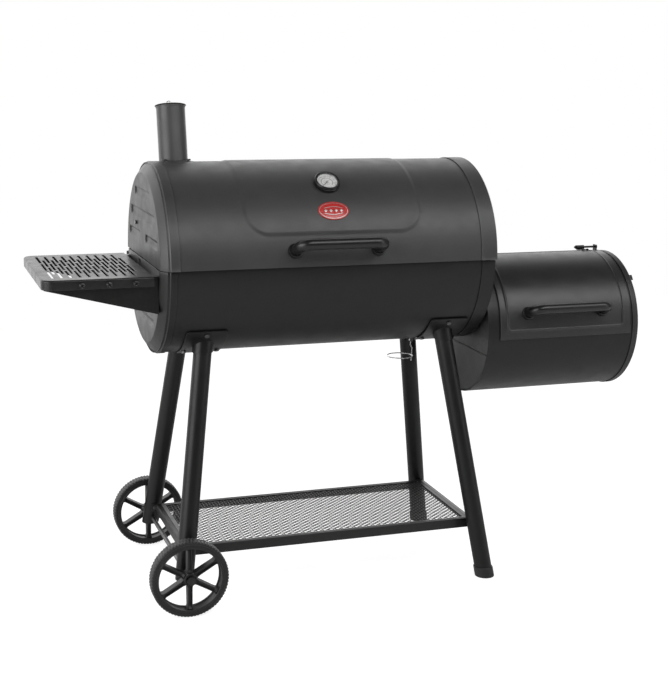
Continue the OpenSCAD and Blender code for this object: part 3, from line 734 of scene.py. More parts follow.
def build_grip(name, foot, span, reach, r, body, node):
    """A U-shaped grip that stands out at 22 degrees; gives back its two foot collars."""
    slope, bend = radians(22), 26
    d = Vector((0, -cos(slope), sin(slope)))
    shape = tube(handle_path(foot, d, (1, 0, 0), span, reach, bend, -2.5, (6, 12)), r, 32)
    piece(name, shape, HANDLE, body, [node], smooth=45)
    collars = Shape()
    profile = [(r + 0.2, -2), (r + 0.2, 7.0), (r + 1.6, 7.6), (r + 3.6, 6.6), (r + 4.6, 4.0), (r + 5, 1.5),
               (r + 5, -3)]
    for s in (-1, 1):
        collars.add(revolve(profile, axes(Vector(foot) + Vector((s * span / 2, 0, 0)), d), 48))
    return collars


def build_handles():
    foot = on_cyl(FITTINGS_X, 10.5, LID_SKIN)
    rings = build_grip("lid_grip", foot, 223, 62, 14.5, "lid", "lid_handle")
    piece("lid_grip_bushings", rings, HANDLE, "lid", ["lid_handle_bushings"], smooth=40)
    mid = (DOOR_X0 + DOOR_X1) / 2 - 4
    foot = on_cyl(mid, 17, DOOR_R, FIRE_Z)
    rings = build_grip("door_grip", foot, 228, 54, 13.5, "firebox_door", "firebox_door_handle")
    piece("door_grip_bushings", rings, HANDLE, "firebox_door", slot="handle_plastic", smooth=40)
    foot = (FIRE_X1 - 0.4, 0, FIRE_Z - 118)
    path = handle_path(foot, (1, 0, 0), (0, 1, 0), 110, 26.4, 14, 0, (3, 10))
    piece("drawer_grip", tube(path, 6, 20), HANDLE, "ash_drawer", ["drawer_handle"], smooth=45)


GAUGE = axes(on_cyl(FITTINGS_X, GAUGE_ANGLE, LID_R),
             (0, -cos(radians(GAUGE_ANGLE)), sin(radians(GAUGE_ANGLE))))
GAUGE_EYE = GAUGE_R - 7.9


def build_gauge_case():
    m, r, eye = GAUGE, GAUGE_R, GAUGE_EYE
    profile = [(0.01, 0.3), (r - 4, 0.3), (r - 1.6, 0.6), (r - 0.3, 1.8), (r, 3.6), (r - 0.2, 7),
               (r - 0.9, 7.4), (r - 0.6, 8), (r - 0.5, 11), (r - 1.2, 13), (r - 2.6, 14.3), (r - 4.4, 14.5),
               (r - 6.2, 13.6), (r - 7.3, 12), (r - 7.5, 10.4), (r - 7.5, 5.2)]
    case = revolve(profile, m, 96)
    stem = revolve([(4, -92), (4, 0.5)], m, 24)
    stem.add(revolve([(0.01, -92), (3.2, -92), (4, -91)], m, 24))
    nut = [[m @ Vector((*corner, h)) for corner in circle_loop(11, 6)] for h in (-9.5, -4.5)]
    case.add(stem).add(Shape().loft(nut, ends=(True, True)))
    piece("gauge_case", case, HANDLE, "lid", ["thermometer_case"], smooth=35)
    edge = [(0.3, 9.4), (0.1, 10.2), (-0.5, 10.4), (-0.8, 9.4), (-0.5, 6.4)]
    ring = revolve([(eye + d, h) for d, h in edge], m, 96)
    piece("gauge_ring", ring, BEZEL, "lid", slot="zinc_steel", smooth=60)


def build_gauge_dial():
    m, eye = GAUGE, GAUGE_EYE
    face = revolve([(0.01, 6.2), (eye * 0.6, 6.2), (eye * 0.9, 6.2), (eye, 7.2)], m, 96)
    hub = revolve([(0.01, 9.1), (1.2, 9.1), (1.4, 8.8), (1.4, 6.2)], m, 20)
    piece("gauge_face", face.add(hub), DIAL, "lid", ["thermometer_dial"], smooth=40)
    ticks = Shape()
    for i in range(41):
        t = radians(225 - 270 * i / 40)
        r0, w = (0.72, 0.8) if i % 5 == 0 else (0.82, 0.4)
        mark = block((eye * r0, -w / 2, 6.2), (eye * 0.9, w / 2, 6.5))
        ticks.add(mark, m @ Matrix.Rotation(t, 4, "Z"))
    piece("gauge_marks", ticks, INK, "lid", slot="needle", smooth=30)
    band = Shape()
    for t0, t1 in ((225, 150), (148, 60), (58, -45)):
        rows = [[m @ Vector((*polar(eye * k, radians(t)), 6.35)) for k in (0.54, 0.62)]
                for t in spread(t0, t1, 24)]
        band.loft(rows, closed=False)
    piece("gauge_bands", band, BAND, "lid", slot="dial", smooth=30)


def build_gauge_needle():
    m = GAUGE
    needle = Shape()
    spin = m @ Matrix.Rotation(radians(228), 4, "Z")
    outline = [(-5, -1.2), (-5, 1.2), (-3, 1.2), (20, 0.5), (23.5, 0), (20, -0.5), (-3, -1.2)]
    needle.loft([[spin @ Vector((x, y, h)) for x, y in outline] for h in (7.1, 7.9)], ends=(True, True))
    needle.add(revolve([(1.5, 7.0), (3.0, 7.0), (3.0, 8.1), (1.5, 8.3)], m, 24))
    piece("gauge_needle", needle, INK, "thermometer_needle", ["thermometer_needle"], smooth=30)


def build_gauge_lens():
    eye = GAUGE_EYE
    profile = [(0.01, 12.9), (15, 12.8), (eye, 12.2), (eye, 11.2), (15, 11.2), (0.01, 11.2)]
    piece("gauge_lens", revolve(profile, GAUGE, 72), LENS, "lid", ["thermometer_lens"], smooth=50)


def on_badge(x, s, lift):
    """Point over the lid, x and s millimetres from the middle of the badge."""
    return on_cyl(FITTINGS_X + x, BADGE_ANGLE + degrees(s / LID_R), LID_R + lift)


def wrap_ellipse(rings, n=72):
    """Rings of (x scale, arc scale, height) round the middle of the badge."""
    return [[on_badge(ax * cos(t), ay * sin(t), h) for t in turn_steps(n)] for ax, ay, h in rings]


def build_badge():
    w, h = 41.5, 25.5
    steps = [(0, 0.1), (0, 1.6), (0.6, 2.2), (1.6, 2.2), (2.0, 1.8), (2.1, 1.2)]
    rim = Shape().loft(wrap_ellipse([(w - d, h - d, lift) for d, lift in steps]))
    piece("badge_rim", rim, BADGE_RED, "lid", ["lid_badge"], smooth=50)
    rings = [(k * (w - 2), k * (h - 2), 1.3) for k in (1, 0.8, 0.6, 0.4, 0.2, 0.01)]
    field = Shape().loft(wrap_ellipse(rings), ends=(False, True))
    piece("badge_field", field, BADGE_RED, "lid", slot="badge", smooth=60)
    trim = Shape()
    line = [(3.4, 1.3), (3.4, 1.8), (4.2, 1.8), (4.2, 1.3)]
    trim.loft(wrap_ellipse([(w - d, h - d, lift) for d, lift in line]))
    for k in (-1.5, -0.5, 0.5, 1.5):
        corners = ((1, 0), (0, 1), (-1, 0), (0, -1))
        rings = [[on_badge(k * 14 + 4.2 * f * u, 4.6 * f * v, lift) for u, v in corners]
                 for f, lift in ((1, 1.3), (1, 1.9), (0.82, 2.2))]
        trim.loft(rings, ends=(False, True))
    for side in (-1, 1):
        section = ((-0.6, 1.3), (-0.6, 1.9), (0.6, 1.9), (0.6, 1.3))
        rings = []
        for x in spread(-25, 25, 28):
            y = side * (11.0 - 4.5 * (x / 25) ** 2)
            rings.append([on_badge(x, y + dy, lift) for dy, lift in section])
        trim.loft(rings, ends=(True, True))
    piece("badge_trim", trim, BADGE_RIM, "lid", slot="badge", smooth=30)


# ---- smokestack ----
LEAN = radians(12.5)
STACK_BASE = Vector((-354, LID_SKIN * sin(LEAN), AXIS + LID_SKIN * cos(LEAN)))
STACK = axes(STACK_BASE, (0, sin(LEAN), cos(LEAN)))
STACK_R = 38.0
STACK_RISE = 150.0
CAP_PIN = (13, 26)


def saddle_height(y, lift):
    return sqrt((LID_SKIN + lift) ** 2 - y * y) - LID_SKIN


def build_stack():
    turns = turn_steps(80)

    def ring(r, h):
        return [STACK @ Vector((*polar(r, t), h)) for t in turns]

    def seat(r, lift):
        return [STACK @ Vector((x, y, saddle_height(y, lift))) for x, y in (polar(r, t) for t in turns)]

    top, r = STACK_RISE, STACK_R
    foot = [(53, 0.2), (53, 0.8), (52.4, 1.1), (43, 1.2), (39.4, 1.5), (38.1, 3)]
    rim = [(r + 0.9, top - 5), (r + 1.3, top - 3.2), (r + 0.9, top - 1.4), (r - 0.2, top), (r - 1.6, top),
           (r - 2, top - 1)]
    outside = [(r, h) for h in (16, 60, 110, top - 6.5)]
    inside = [(r - 2, h) for h in (100, 50, 0)]
    rings = [seat(*step) for step in foot] + [ring(*step) for step in outside + rim + inside]
    shape = Shape().loft(rings + [seat(36, -4)])
    seam = ((-3, -0.6), (-2, 0.3), (2, 0.3), (3, -0.6))
    rows = [[STACK @ Vector((dx, r + dy, h)) for dx, dy in seam] for h in spread(8, top - 7, 12)]
    shape.loft(rows, closed=False)
    bracket = block((8, 17, top - 14), (18, 36, top - 12))
    pin = revolve([(2.5, -12), (2.5, 3)], axes((*CAP_PIN, top), (0, 0, 1)), 20)
    hexes = circle_loop(5, 6, *CAP_PIN)
    nut = Shape().loft([[(x, y, h) for x, y in hexes] for h in (top + 2.5, top + 6)], ends=(True, True))
    shape.add(bracket, STACK).add(pin, STACK).add(nut, STACK)
    piece("stack_tube", shape, STACK_COAT, "lid", ["smokestack"], smooth=35)
    cap = revolve([(0.01, top + 2.0), (30, top + 2.0), (39, top + 1.9), (41, top + 1.4), (41.5, top + 0.4),
                   (41.5, top + 0.3), (40.6, top + 0.5), (30, top + 0.6), (0.01, top + 0.6)], STACK, 80)
    round_part = [polar(5.5, 2 * pi * i / 24 + 0.2, -4, top + 7.5) for i in range(25)]
    eyelet = [Vector((x, 0, h)) for x, h in round_part]
    eyelet = [Vector((-12, 0, top + 2.6)), Vector((-8, 0, top + 3))] + eyelet[16:] + eyelet[1:18] \
        + [Vector((0, 0, top + 3)), Vector((4, 0, top + 2.6))]
    cap_top = tube([(STACK @ p) for p in eyelet], 1.35, 10)
    piece("stack_lid", cap, STACK_COAT, "stack_cap", ["stack_cap"], smooth=30)
    piece("stack_lid_eyelet", cap_top, BRIGHT_WIRE, "stack_cap", slot="wire", smooth=60)


# ---- side shelf ----
SHELF_X0, SHELF_X1, SHELF_Y, SHELF_TOP = -738.0, -464.0, 222.0, 875.0


def shelf_edge(inset, corner=30.0, n=10):
    """Open outline of the shelf, from its inner front corner round to its inner rear one."""
    r = corner - inset
    pts = [(SHELF_X1, -SHELF_Y + inset)]
    for cy, t0 in ((-SHELF_Y + corner, 270), (SHELF_Y - corner, 180)):
        pts += [polar(r, radians(t0 - 90 * i / n), SHELF_X0 + corner, cy) for i in range(n + 1)]
    pts.append((SHELF_X1, SHELF_Y - inset))
    return pts


def build_side_shelf():
    bend = 5.0
    rings = [[(x, y, SHELF_TOP - d) for x, y in shelf_edge(inset)] for inset, d in ((0.6, 25), (0, 24))]
    for t in spread(90, 0, 7):
        inset = bend - bend * sin(radians(t))
        z = SHELF_TOP - bend + bend * cos(radians(t))
        rings.append([(x, y, z) for x, y in shelf_edge(inset)])
    shape = Shape().loft(rings, closed=False)
    columns, x0 = 20, SHELF_X0 + 32
    pitch = (SHELF_X1 - SHELF_X0 - 50) / columns
    slots = []
    for i in range(columns):
        x = x0 + i * pitch
        for j in ((-1, 0, 1) if i % 2 == 0 else (-0.5, 0.5)):
            at = (x, j * 128)
            slots.append(hole(lambda g, at=at: rounded_loop(8.2 - 2 * g, 114 - 2 * g, 3.8 - g, 4, *at)))
    shape.add(pressed(shelf_edge(bend), slots, lambda x, y, d: (x, y, SHELF_TOP - d)))
    piece("side_tray", shape, SHELF_COAT, "stand", ["side_shelf"], sheet=1.6, smooth=50,
          outward=lambda c: (-0.05, 0, 1.0))
    profile = [(0.01, 11.2), (2.2, 11.2), (2.9, 11.8), (3.0, 13.6), (4.0, 14.6), (5.6, 14.9), (6.8, 14.2),
               (7, 12.8), (6.4, 11.4), (4.2, 10.8), (3, 10.2), (3, 2.6), (5.2, 2.2), (6, 1.4), (6, 0.1)]
    studs = Shape()
    for x in (-642, -576, -510):
        studs.add(revolve(profile, axes((x, -SHELF_Y, SHELF_TOP - 14), (0, -1, 0)), 32))
    piece("hook_studs", studs, STUD, "stand", ["tool_hooks"], smooth=40)


# ---- legs, feet and shelf ----
LEG_R = 24.0
LEG_Z = 680.0
LEGS = [(sx, sy, side, depth) for sx, side in ((-1, "left"), (1, "right"))
        for sy, depth in ((-1, "front"), (1, "rear"))]


def leg_at(sx, sy, z):
    drop = LEG_Z - z
    x = -322 - 0.129 * drop if sx < 0 else 348 + 0.15 * drop
    return Vector((x, sy * (134.5 + 0.1635 * drop), z))


def leg_ring(sx, sy, z, r, n=48):
    axis = (leg_at(sx, sy, 100) - leg_at(sx, sy, 200)).normalized()
    tilt = Vector((axis.x, axis.y, 0)).normalized()
    across = Vector((-tilt.y, tilt.x, 0))
    stretch = 1 / abs(axis.z)
    c = leg_at(sx, sy, z)
    return [c + tilt * (r * stretch * cos(t)) + across * (r * sin(t)) for t in turn_steps(n)]


def build_legs():
    for sx, sy, side, depth in LEGS:
        low = 81.6 if sx < 0 else 4.2
        heights = [low, low + 0.8] + spread(low + 40, LEG_Z + 8, 8)
        outer = [leg_ring(sx, sy, z, LEG_R - (0.6 if i == 0 else 0)) for i, z in enumerate(heights)]
        inner = [leg_ring(sx, sy, z, LEG_R - 2) for z in (heights[-1], heights[0])]
        shape = Shape().loft(outer + inner + [outer[0]])
        piece(f"leg_tube_{depth}_{side}", shape, FRAME_COAT, "stand", [f"leg_{depth}_{side}"], smooth=40)
        if sx > 0:
            piece(f"foot_{depth}", foot_cap(sx, sy), FOOT, "stand", [f"foot_cap_{depth}"], smooth=35)


def foot_cap(sx, sy):
    """Plastic cup round the end of a leg, with a ring of small studs below."""
    section = [(0, 1.0), (0, 20.0), (0, 25.2), (0.8, 26.2), (2.5, 26.6), (24, 26.6), (27, 26.3), (28, 25.4),
               (28, 24.2), (4, 24.2), (3.8, 1.0)]
    cap = Shape().loft([leg_ring(sx, sy, z, r) for z, r in section], ends=(True, True))
    foot = leg_at(sx, sy, 0)
    for t in turn_steps(12):
        dot = Vector((*polar(19, t, foot.x, foot.y), 0))
        cap.add(revolve([(0.01, 0.1), (1.4, 0.1), (1.4, 0.9)], axes(dot, (0, 0, 1)), 8))
    return cap


def wrapped_plate(xc, width, a0, a1, r, thick, corner):
    """Plate with rounded corners bent round a cylinder."""
    s0, s1 = radians(a0) * r, radians(a1) * r
    near = [0, 0.03, 0.1, 0.2, 0.35, 0.55, 0.8, 1.0]
    places = [s0 + corner * k for k in near] + spread(s0 + corner, s1 - corner, 14)[1:-1] \
        + [s1 - corner * k for k in reversed(near)]
    rings = []
    for s in places:
        d = max(0.0, corner - min(s - s0, s1 - s))
        w = width / 2 - corner + sqrt(max(corner ** 2 - d ** 2, 0.0))
        a = degrees(s / r)
        e = 0.5
        top = r + thick
        section = [(-w, r), (-w, top - e), (-w + e, top), (-w * 0.5, top), (0, top), (w * 0.5, top),
                   (w - e, top), (w, top - e), (w, r)]
        rings.append([on_cyl(xc + x, a, rr) for x, rr in section])
    return Shape().loft(rings, ends=(True, True))


def collar_top(sx, sy, r, n):
    """Upper edge of a leg's collar, followed up each line of the tube to the saddle plate."""
    edge = []
    for top, low in zip(leg_ring(sx, sy, LEG_Z, r, n), leg_ring(sx, sy, LEG_Z - 20, r, n)):
        step = (top - low) / 20
        p = low.copy()
        while hypot(p.y, p.z - AXIS) > BASE_R + 2.4 and p.z < LEG_Z + 26:
            p += step
        edge.append(p)
    return edge


def build_saddles():
    n, r = 48, 27.2
    for sx, sy, side, depth in LEGS:
        plate = wrapped_plate(leg_at(sx, sy, LEG_Z).x, 110, -76, -40.6, BASE_R + 0.2, 2.4, 9)
        if sy > 0:
            plate.bend(lambda px, py, pz: (px, -py, pz))
        steps = ((20, r - 0.8), (19.4, r), (14, r), (6, r))
        outer = [leg_ring(sx, sy, LEG_Z - dz, rr, n) for dz, rr in steps]
        collar = collar_top(sx, sy, r, n)
        flare = [Vector((c.x + (c.x - leg_at(sx, sy, c.z).x) * 0.1, c.y, c.z)) for c in collar]
        below = [c - (c - o) * 0.12 for c, o in zip(collar, outer[-1])]
        inner = leg_ring(sx, sy, LEG_Z - 20, 24.3, n)
        plate.add(Shape().loft([inner] + outer + [below, flare]))
        piece(f"saddle_plate_{depth}_{side}", plate, FRAME_COAT, "stand",
              [f"saddle_{depth}_{side}"], smooth=35)


def build_shelf_frame():
    x0, x1, sy, top, skirt = -390.0, 436.0, 184.0, 150.0, 26.0
    cx, wx, wy = (x0 + x1) / 2, x1 - x0, 2 * sy

    def ring(inset, drop, r, share=0.0):
        """Loop at an inset from the rim, or from a share of the way to the frame's opening."""
        ix, iy = 24.0 * share + inset, 17.0 * share + inset
        return [(x, y, top - drop) for x, y in rounded_loop(wx - 2 * ix, wy - 2 * iy, r, 5, cx, 0)]

    side = [(5, skirt - 0.2, 1), (0.8, skirt, 3), (0, skirt - 0.8, 4), (0, 3, 4), (0.4, 1.3, 3.8)]
    face = [(1.3, 0.4, 3.4), (3, 0, 3), (0, 0, 3, 0.42), (0, -0.9, 3, 0.5), (0, 0, 3, 0.58), (-1.5, 0, 3, 1)]
    inner = [(-0.4, 0.4, 3, 1), (0, 1.6, 3, 1), (0, 3.2, 3, 1), (-1, 3.2, 3, 1), (2.2, 3.0, 2)]
    hem = [(1.6, skirt - 1.6, 2), (5, skirt - 1.8, 1), (5, skirt - 0.2, 1)]
    shape = Shape().loft([ring(*step) for step in side + face + inner + hem])
    for sx in (-1, 1):
        for s in (-1, 1):
            p = leg_at(sx, s, top - 14)
            edge = abs(p.y) - LEG_R - 2.5
            x = x0 if sx < 0 else x1 - 2
            z = top - skirt
            lo, hi = sorted((s * (sy - 2), s * (edge - 0.5)))
            shape.add(block((x, lo, z), (x + 2, hi, top - 4)))
            lo, hi = sorted((s * (edge - 2.5), s * (edge - 0.5)))
            shape.add(block((min(x, p.x - 10), lo, z), (max(x + 2, p.x + 10), hi, top - 4)))
    piece("shelf_frame", shape, SHELF_COAT, "stand", ["bottom_shelf_frame"], smooth=35)


def build_shelf_mesh():
    """Expanded metal: wavy strands that meet their neighbours at every bond."""
    x0, x1, y0, y1, z = -368.0, 414.0, -168.0, 168.0, 147.4
    pitch, row = 18.3, 7.9
    swing, half = row / 2 - 0.15, 1.75
    shape = Shape()
    xs = spread(x0, x1, int((x1 - x0) / pitch * 8) + 1)
    count = int((y1 - y0) / row)
    for k in range(count + 1):
        y = y0 + 1.5 + k * (y1 - y0 - 3) / count
        flip = 1 if k % 2 else -1
        rings = []
        for x in xs:
            w = cos(2 * pi * x / pitch)
            shaped = copysign(abs(w) ** 0.75, w)
            c = y + flip * swing * shaped
            tilt = 0.55 * flip * w
            rings.append([(x, c - half, z - 0.75 - tilt), (x, c - half, z + 0.35 - tilt),
                          (x, c + half, z + 0.35 + tilt), (x, c + half, z - 0.75 + tilt)])
        shape.loft(rings, ends=(True, True))
    cx, wx, wy = (x0 + x1) / 2, x1 - x0, y1 - y0
    outer, inner = rounded_loop(wx + 30, wy + 18, 4, 4, cx, 0), rounded_loop(wx - 2, wy - 2, 4, 4, cx, 0)
    border = ((inner, 0), (outer, 0), (outer, 1.2), (inner, 1.2), (inner, 0))
    shape.loft([[(x, y, z - 0.9 + up) for x, y in loop] for loop, up in border])
    piece("shelf_mesh", shape, FRAME_COAT, "stand", ["bottom_shelf_mesh"], smooth=30, weld=False)


# ---- wheels ----
def build_wheel(name, side):
    node = f"wheel_{name}"
    lo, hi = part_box(node)
    centre = (((lo.x + hi.x) / 2 - ORIGIN.x) / MM, side * 259.5, ((lo.z + hi.z) / 2) / MM)
    m = axes(centre, (0, side, 0), (1, 0, 0))
    r, w, teeth = 101.5, 37.5, 72
    rim = r - 19.5
    face = [(rim + 1.0, 0), (rim + 5, 0), (rim + 6, 1.6), (r - 8, 1.6), (r - 7, 0.2), (r - 3, 0.4),
            (r - 1.0, 2.0), (r, 4.5), (r, 9), (r + 0.1, 12.6), (r + 0.1, 12.7)]
    inside = [(rim, w - 1), (rim, w - 5), (rim + 2.6, w - 7), (rim + 3, w / 2), (rim + 2.6, 7), (rim, 5),
              (rim, 1)]
    profile = face + [(rad, w - h) for rad, h in reversed(face)] + inside
    tread = range(6, 16)

    def wave(t, k):
        if k not in tread:
            return 0.0
        phase = (t * teeth / (2 * pi) + (0.5 if k > 10 else 0.0)) % 1.0
        return -1.7 if phase < 0.42 else 0.0

    shape = revolve(profile, m, teeth * 7, closed=True, wave=wave)
    for i in range(6):
        turn = m @ Matrix.Rotation(radians(30 + 60 * i), 4, "Z")
        rings = []
        for rad in spread(13, rim + 4, 15):
            k = (rad - 13) / (rim - 9)
            near = smoothstep((rad - rim + 9) / 12)
            wide = 6.6 - 0.9 * k + 4.5 * near ** 2 + 1.5 * smoothstep((24 - rad) / 8)
            deep = 6.0 * smoothstep((rad - 18) / 7) * smoothstep((rim - 2 - rad) / 7)
            z0, z1 = 7.5, w - 7.5
            lip = wide - 2.3
            ring = [(wide, z0), (wide, z1), (lip, z1), (lip - 0.6, z1 - deep), (-lip + 0.6, z1 - deep),
                    (-lip, z1), (-wide, z1), (-wide, z0), (-lip, z0), (-lip + 0.6, z0 + deep),
                    (lip - 0.6, z0 + deep), (lip, z0)]
            rings.append([turn @ Vector((rad, y, z)) for y, z in ring])
        shape.add(Shape().loft(rings, ends=(True, True)))
    hub = [(6.2, 0), (15.4, 0), (17, 1.4), (17, w - 0.4), (16.2, w + 0.8), (14.4, w + 1.4), (13.6, w - 1),
           (9, w - 1), (8.6, w + 1.2), (6.2, w + 1.2), (6.2, 0)]
    shape.add(revolve(hub, m, 48))
    for i in range(6):
        turn = m @ Matrix.Rotation(radians(60 * i), 4, "Z")
        shape.add(block((8, -1.1, w - 5), (15, 1.1, w + 1.0)), turn)
    piece(f"{node}_moulding", shape, WHEEL, node, [node], smooth=32)


def build_axle():
    lo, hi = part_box("wheel_axle")
    x, z = ((lo.x + hi.x) / 2 - ORIGIN.x) / MM, (lo.z + hi.z) / 2 / MM
    y = (hi.y - lo.y) / 2 / MM
    profile = [(0.01, -y), (4.8, -y), (6, -y + 1.4), (6, y - 1.4), (4.8, y), (0.01, y)]
    rod = revolve(profile, axes((x, 0, z), (0, 1, 0)), 32)
    piece("axle_rod", rod, DARK_ZINC, "stand", ["wheel_axle"], smooth=35)


# ---- firebox ----
def build_firebox_shell():
    open_x = (DOOR_X0 + 14, DOOR_X1 - 14)
    skin = FIRE_R - SHEET - 0.3
    low = degrees(asin(10 / skin))
    high = 90 + degrees(asin(5 / skin))
    xs = sorted(set(stations(FIRE_X0, FIRE_X1 - 5, 16) + list(open_x)))
    angles = sorted(set(stations(-180, 180, 3) + [low, high]))

    def cut(x, a):
        return open_x[0] < x < open_x[1] and low < a < high

    shape = cyl_sheet(xs, angles, skin, FIRE_Z, cut)
    piece("fire_skin", shape, BODY_COAT, "stand", ["firebox_shell"], **wrapped(FIRE_Z))


def door_radius_at(x, a):
    s = DOOR_R * radians(a - 47)
    cx, w, h = (DOOR_X0 + 21 + DOOR_X1 - 27) / 2, DOOR_X1 - DOOR_X0 - 48, 2 * DOOR_R * radians(43.5)
    gap = rounded_gap(x - cx, s, w, h, 12)
    lift = 1.6 * smoothstep(0.5 - gap / 5.0)
    ridge = 2.0 * exp(-((gap / 2.6) ** 2))
    edge = min(x - DOOR_X0, DOOR_X1 - x, DOOR_R * radians(a + 3.5))
    return DOOR_R + lift + ridge + 0.7 * smoothstep((2.4 - edge) / 2.0)


def build_firebox_door():
    low = -degrees(asin(12 / DOOR_R))
    high = 90 + degrees(asin(24 / DOOR_R))
    hems = [(DOOR_X0 + 1.5, 1.5, 0.6), (DOOR_X1 - 1.5, 1.5, 0.6)]
    shoulders = [(DOOR_X0 + 24, 14, 1.2), (DOOR_X1 - 24, 14, 1.2)]
    xs = stations(DOOR_X0, DOOR_X1, 12, hems + shoulders)
    angles = stations(low, high, 1.8, [(low + 0.5, 0.5, 0.2), (5, 3.6, 0.35), (89, 4.5, 0.35)])
    shape = cyl_sheet(xs, angles, door_radius_at, FIRE_Z)
    piece("door_skin", shape, DOOR_COAT, "firebox_door", ["firebox_door"], **wrapped(FIRE_Z, SHEET - 0.3))
    hinge_y, hinge_z = 36.0, FIRE_Z + 203
    mid = (DOOR_X0 + DOOR_X1) / 2
    tabs = Shape()
    for s in (-1, 1):
        x = mid + s * ((DOOR_X1 - DOOR_X0) / 2 - 47)
        tabs.add(block((x - 13, -12, hinge_z - 7.2), (x + 13, hinge_y - 3, hinge_z - 4.2)))
        barrel = [(3.2, -13), (5.5, -13), (5.5, 13), (3.2, 13), (3.2, -13)]
        tabs.add(revolve(barrel, axes((x, hinge_y, hinge_z), (1, 0, 0), (0, 0, 1)), 28))
        for dx in (-7, 7):
            tabs.add(revolve([(0.01, 4.2), (2.2, 3.9), (3.9, 2.4), (4.3, 0)],
                             axes((x + dx, 2, hinge_z - 4.2), (0, 0, 1)), 20))
    piece("door_hinge_tabs", tabs, BODY_COAT, "firebox_door", slot="body_coat", bevel=0.5)


def build_firebox_right_end():
    r_face = FIRE_R - 5
    rings = []
    n = 144
    a_cut = degrees(asin((SEAM_Z - FIRE_Z) / r_face))
    turns = sorted(set([round(-180 + 360 * i / n, 4) for i in range(n)] + [a_cut, -180 - a_cut]))

    def ring(r, x):
        return [on_cyl(x, a, r, FIRE_Z) for a in turns]

    for t in spread(0, 90, 6):
        rings.append(ring(r_face + 5 * sin(radians(t)), FIRE_X1 - 5 + 5 * cos(radians(t))))
    rings += [ring(FIRE_R, FIRE_X1 - 12), ring(FIRE_R, FIRE_X1 - 18.4), ring(FIRE_R - 0.4, FIRE_X1 - 19)]
    shape = Shape().loft(rings)
    kept = [a for a in turns if a >= a_cut] + [a for a in turns if a <= -180 - a_cut]
    outline = round_outline(r_face, kept)
    vents = [through(circle_loop(15, 32, *polar(42, radians(k), 0, 50))) for k in (90, 210, 330)]
    ribs = [recess(70, 22, 8, 2.4, 6, s * 120, 10) for s in (-1, 1)]
    ribs += [recess(150, 20, 8, 2.4, 6, 0, 150)]
    shape.add(pressed(outline, vents + ribs, lambda y, z, d: (FIRE_X1 - d, y, FIRE_Z + z)))
    damper = axes((FIRE_X1, 0, FIRE_Z + 50), (1, 0, 0), (0, 0, 1))
    shape.add(revolve([(3, -1), (3, 3.4)], damper, 20))
    piece("fire_end_right", shape, RING_COAT, "stand", ["firebox_cap_right"], sheet=SHEET, smooth=50,
          outward=lambda c: (1, 0, 0))
    rivet = revolve([(0.01, 4.4), (4, 4.2), (6.4, 3.4), (7, 2.5)], damper, 28)
    piece("damper_rivet", rivet, DARK_ZINC, "stand", slot="zinc_steel", smooth=50)


def build_firebox_left_end():
    r = FIRE_R - 4.6
    cut = SEAM_Z - FIRE_Z
    a0 = degrees(asin(cut / r))
    arc_pts = round_outline(r, spread(a0, 180 - a0, 110))
    duct = through(rounded_loop(204, 90, 8, 5, 0, DUCT_Z - FIRE_Z))
    face = pressed(arc_pts, [duct], lambda y, z, d: (FIRE_X0 + d, y, FIRE_Z + z))
    rim = [[(x, y, FIRE_Z + z) for y, z in arc_pts] for x in (FIRE_X0, FIRE_X0 + 16)]
    face.add(Shape().loft(rim, closed=False))
    piece("fire_end_left", face, CAP_COAT, "stand", ["firebox_cap_left"], sheet=SHEET, smooth=50,
          outward=lambda c: (-1, 0, 0))
    edge = sqrt(r * r - 58 * 58) - 1
    strip = Shape()
    section = [(1.0, -1.5), (-1.0, -1.5), (-2.0, -0.9), (-2.0, 0.9), (-1.0, 1.5), (1.0, 1.5)]
    rings = [[(FIRE_X0 + x, y, SEAM_Z + z) for x, z in section] for y in (-edge, 0, edge)]
    strip.loft(rings, ends=(True, True))
    piece("fire_end_lip", strip, CAP_COAT, "stand", slot="body_coat", smooth=30)


def build_ash_drawer():
    r, top = FIRE_R - SHEET - 0.3 - SHEET - 1.7, SEAM_Z - 3 - FIRE_Z
    x0, x1 = FIRE_X0 + 1, FIRE_X1 - 0.5

    def chord(rr, zt, n=72):
        a = degrees(asin(zt / rr))
        return round_outline(rr, spread(a, -180 - a, n))

    def ring(rr, x, zt=top):
        return [(x, y, FIRE_Z + z) for y, z in chord(rr, zt)]

    mid = (x0 + x1) / 2
    outer = [ring(r - 1.2, x0), ring(r, x0 + 1.2), ring(r, mid), ring(r, x1 - 1.2), ring(r - 1.2, x1)]
    inner = [ring(r - 1.6, x0 + 1.8), ring(r - 1.6, x1 - 1.8)]
    shape = Shape()
    shape.loft(outer, closed=False)
    shape.loft(inner, closed=False)
    for x, rr in ((x0, r - 1.2), (x0 + 1.8, r - 1.6), (x1 - 1.8, r - 1.6)):
        pts = chord(rr, top)
        shape.faces.append(tuple(len(shape.verts) + i for i in range(len(pts))))
        shape.slots.append(0)
        shape.verts += [(x, y, FIRE_Z + z) for y, z in pts]
    front = pressed(chord(r - 1.2, top), [recess(236, 44, 12, 1.0, 5, 0, -118)],
                    lambda y, z, d: (x1 - d, y, FIRE_Z + z))
    shape.add(front)
    for s in (-1, 1):
        widths = [s * abs(chord(rr, top)[0][0]) for rr in (r - 0.02, r - 1.62)]
        rows = [[(x, w, FIRE_Z + top) for w in widths] for x in (x0, x1)]
        shape.loft(rows, closed=False)
    w = abs(chord(r - 1.2, top)[0][0])
    for ends in ((x0, x0 + 1.8), (x1 - 1.8, x1)):
        shape.loft([[(x, y, FIRE_Z + top) for x in ends] for y in (-w, w)], closed=False)
    piece("ash_pan", shape, BODY_COAT, "ash_drawer", ["ash_drawer"], smooth=40)


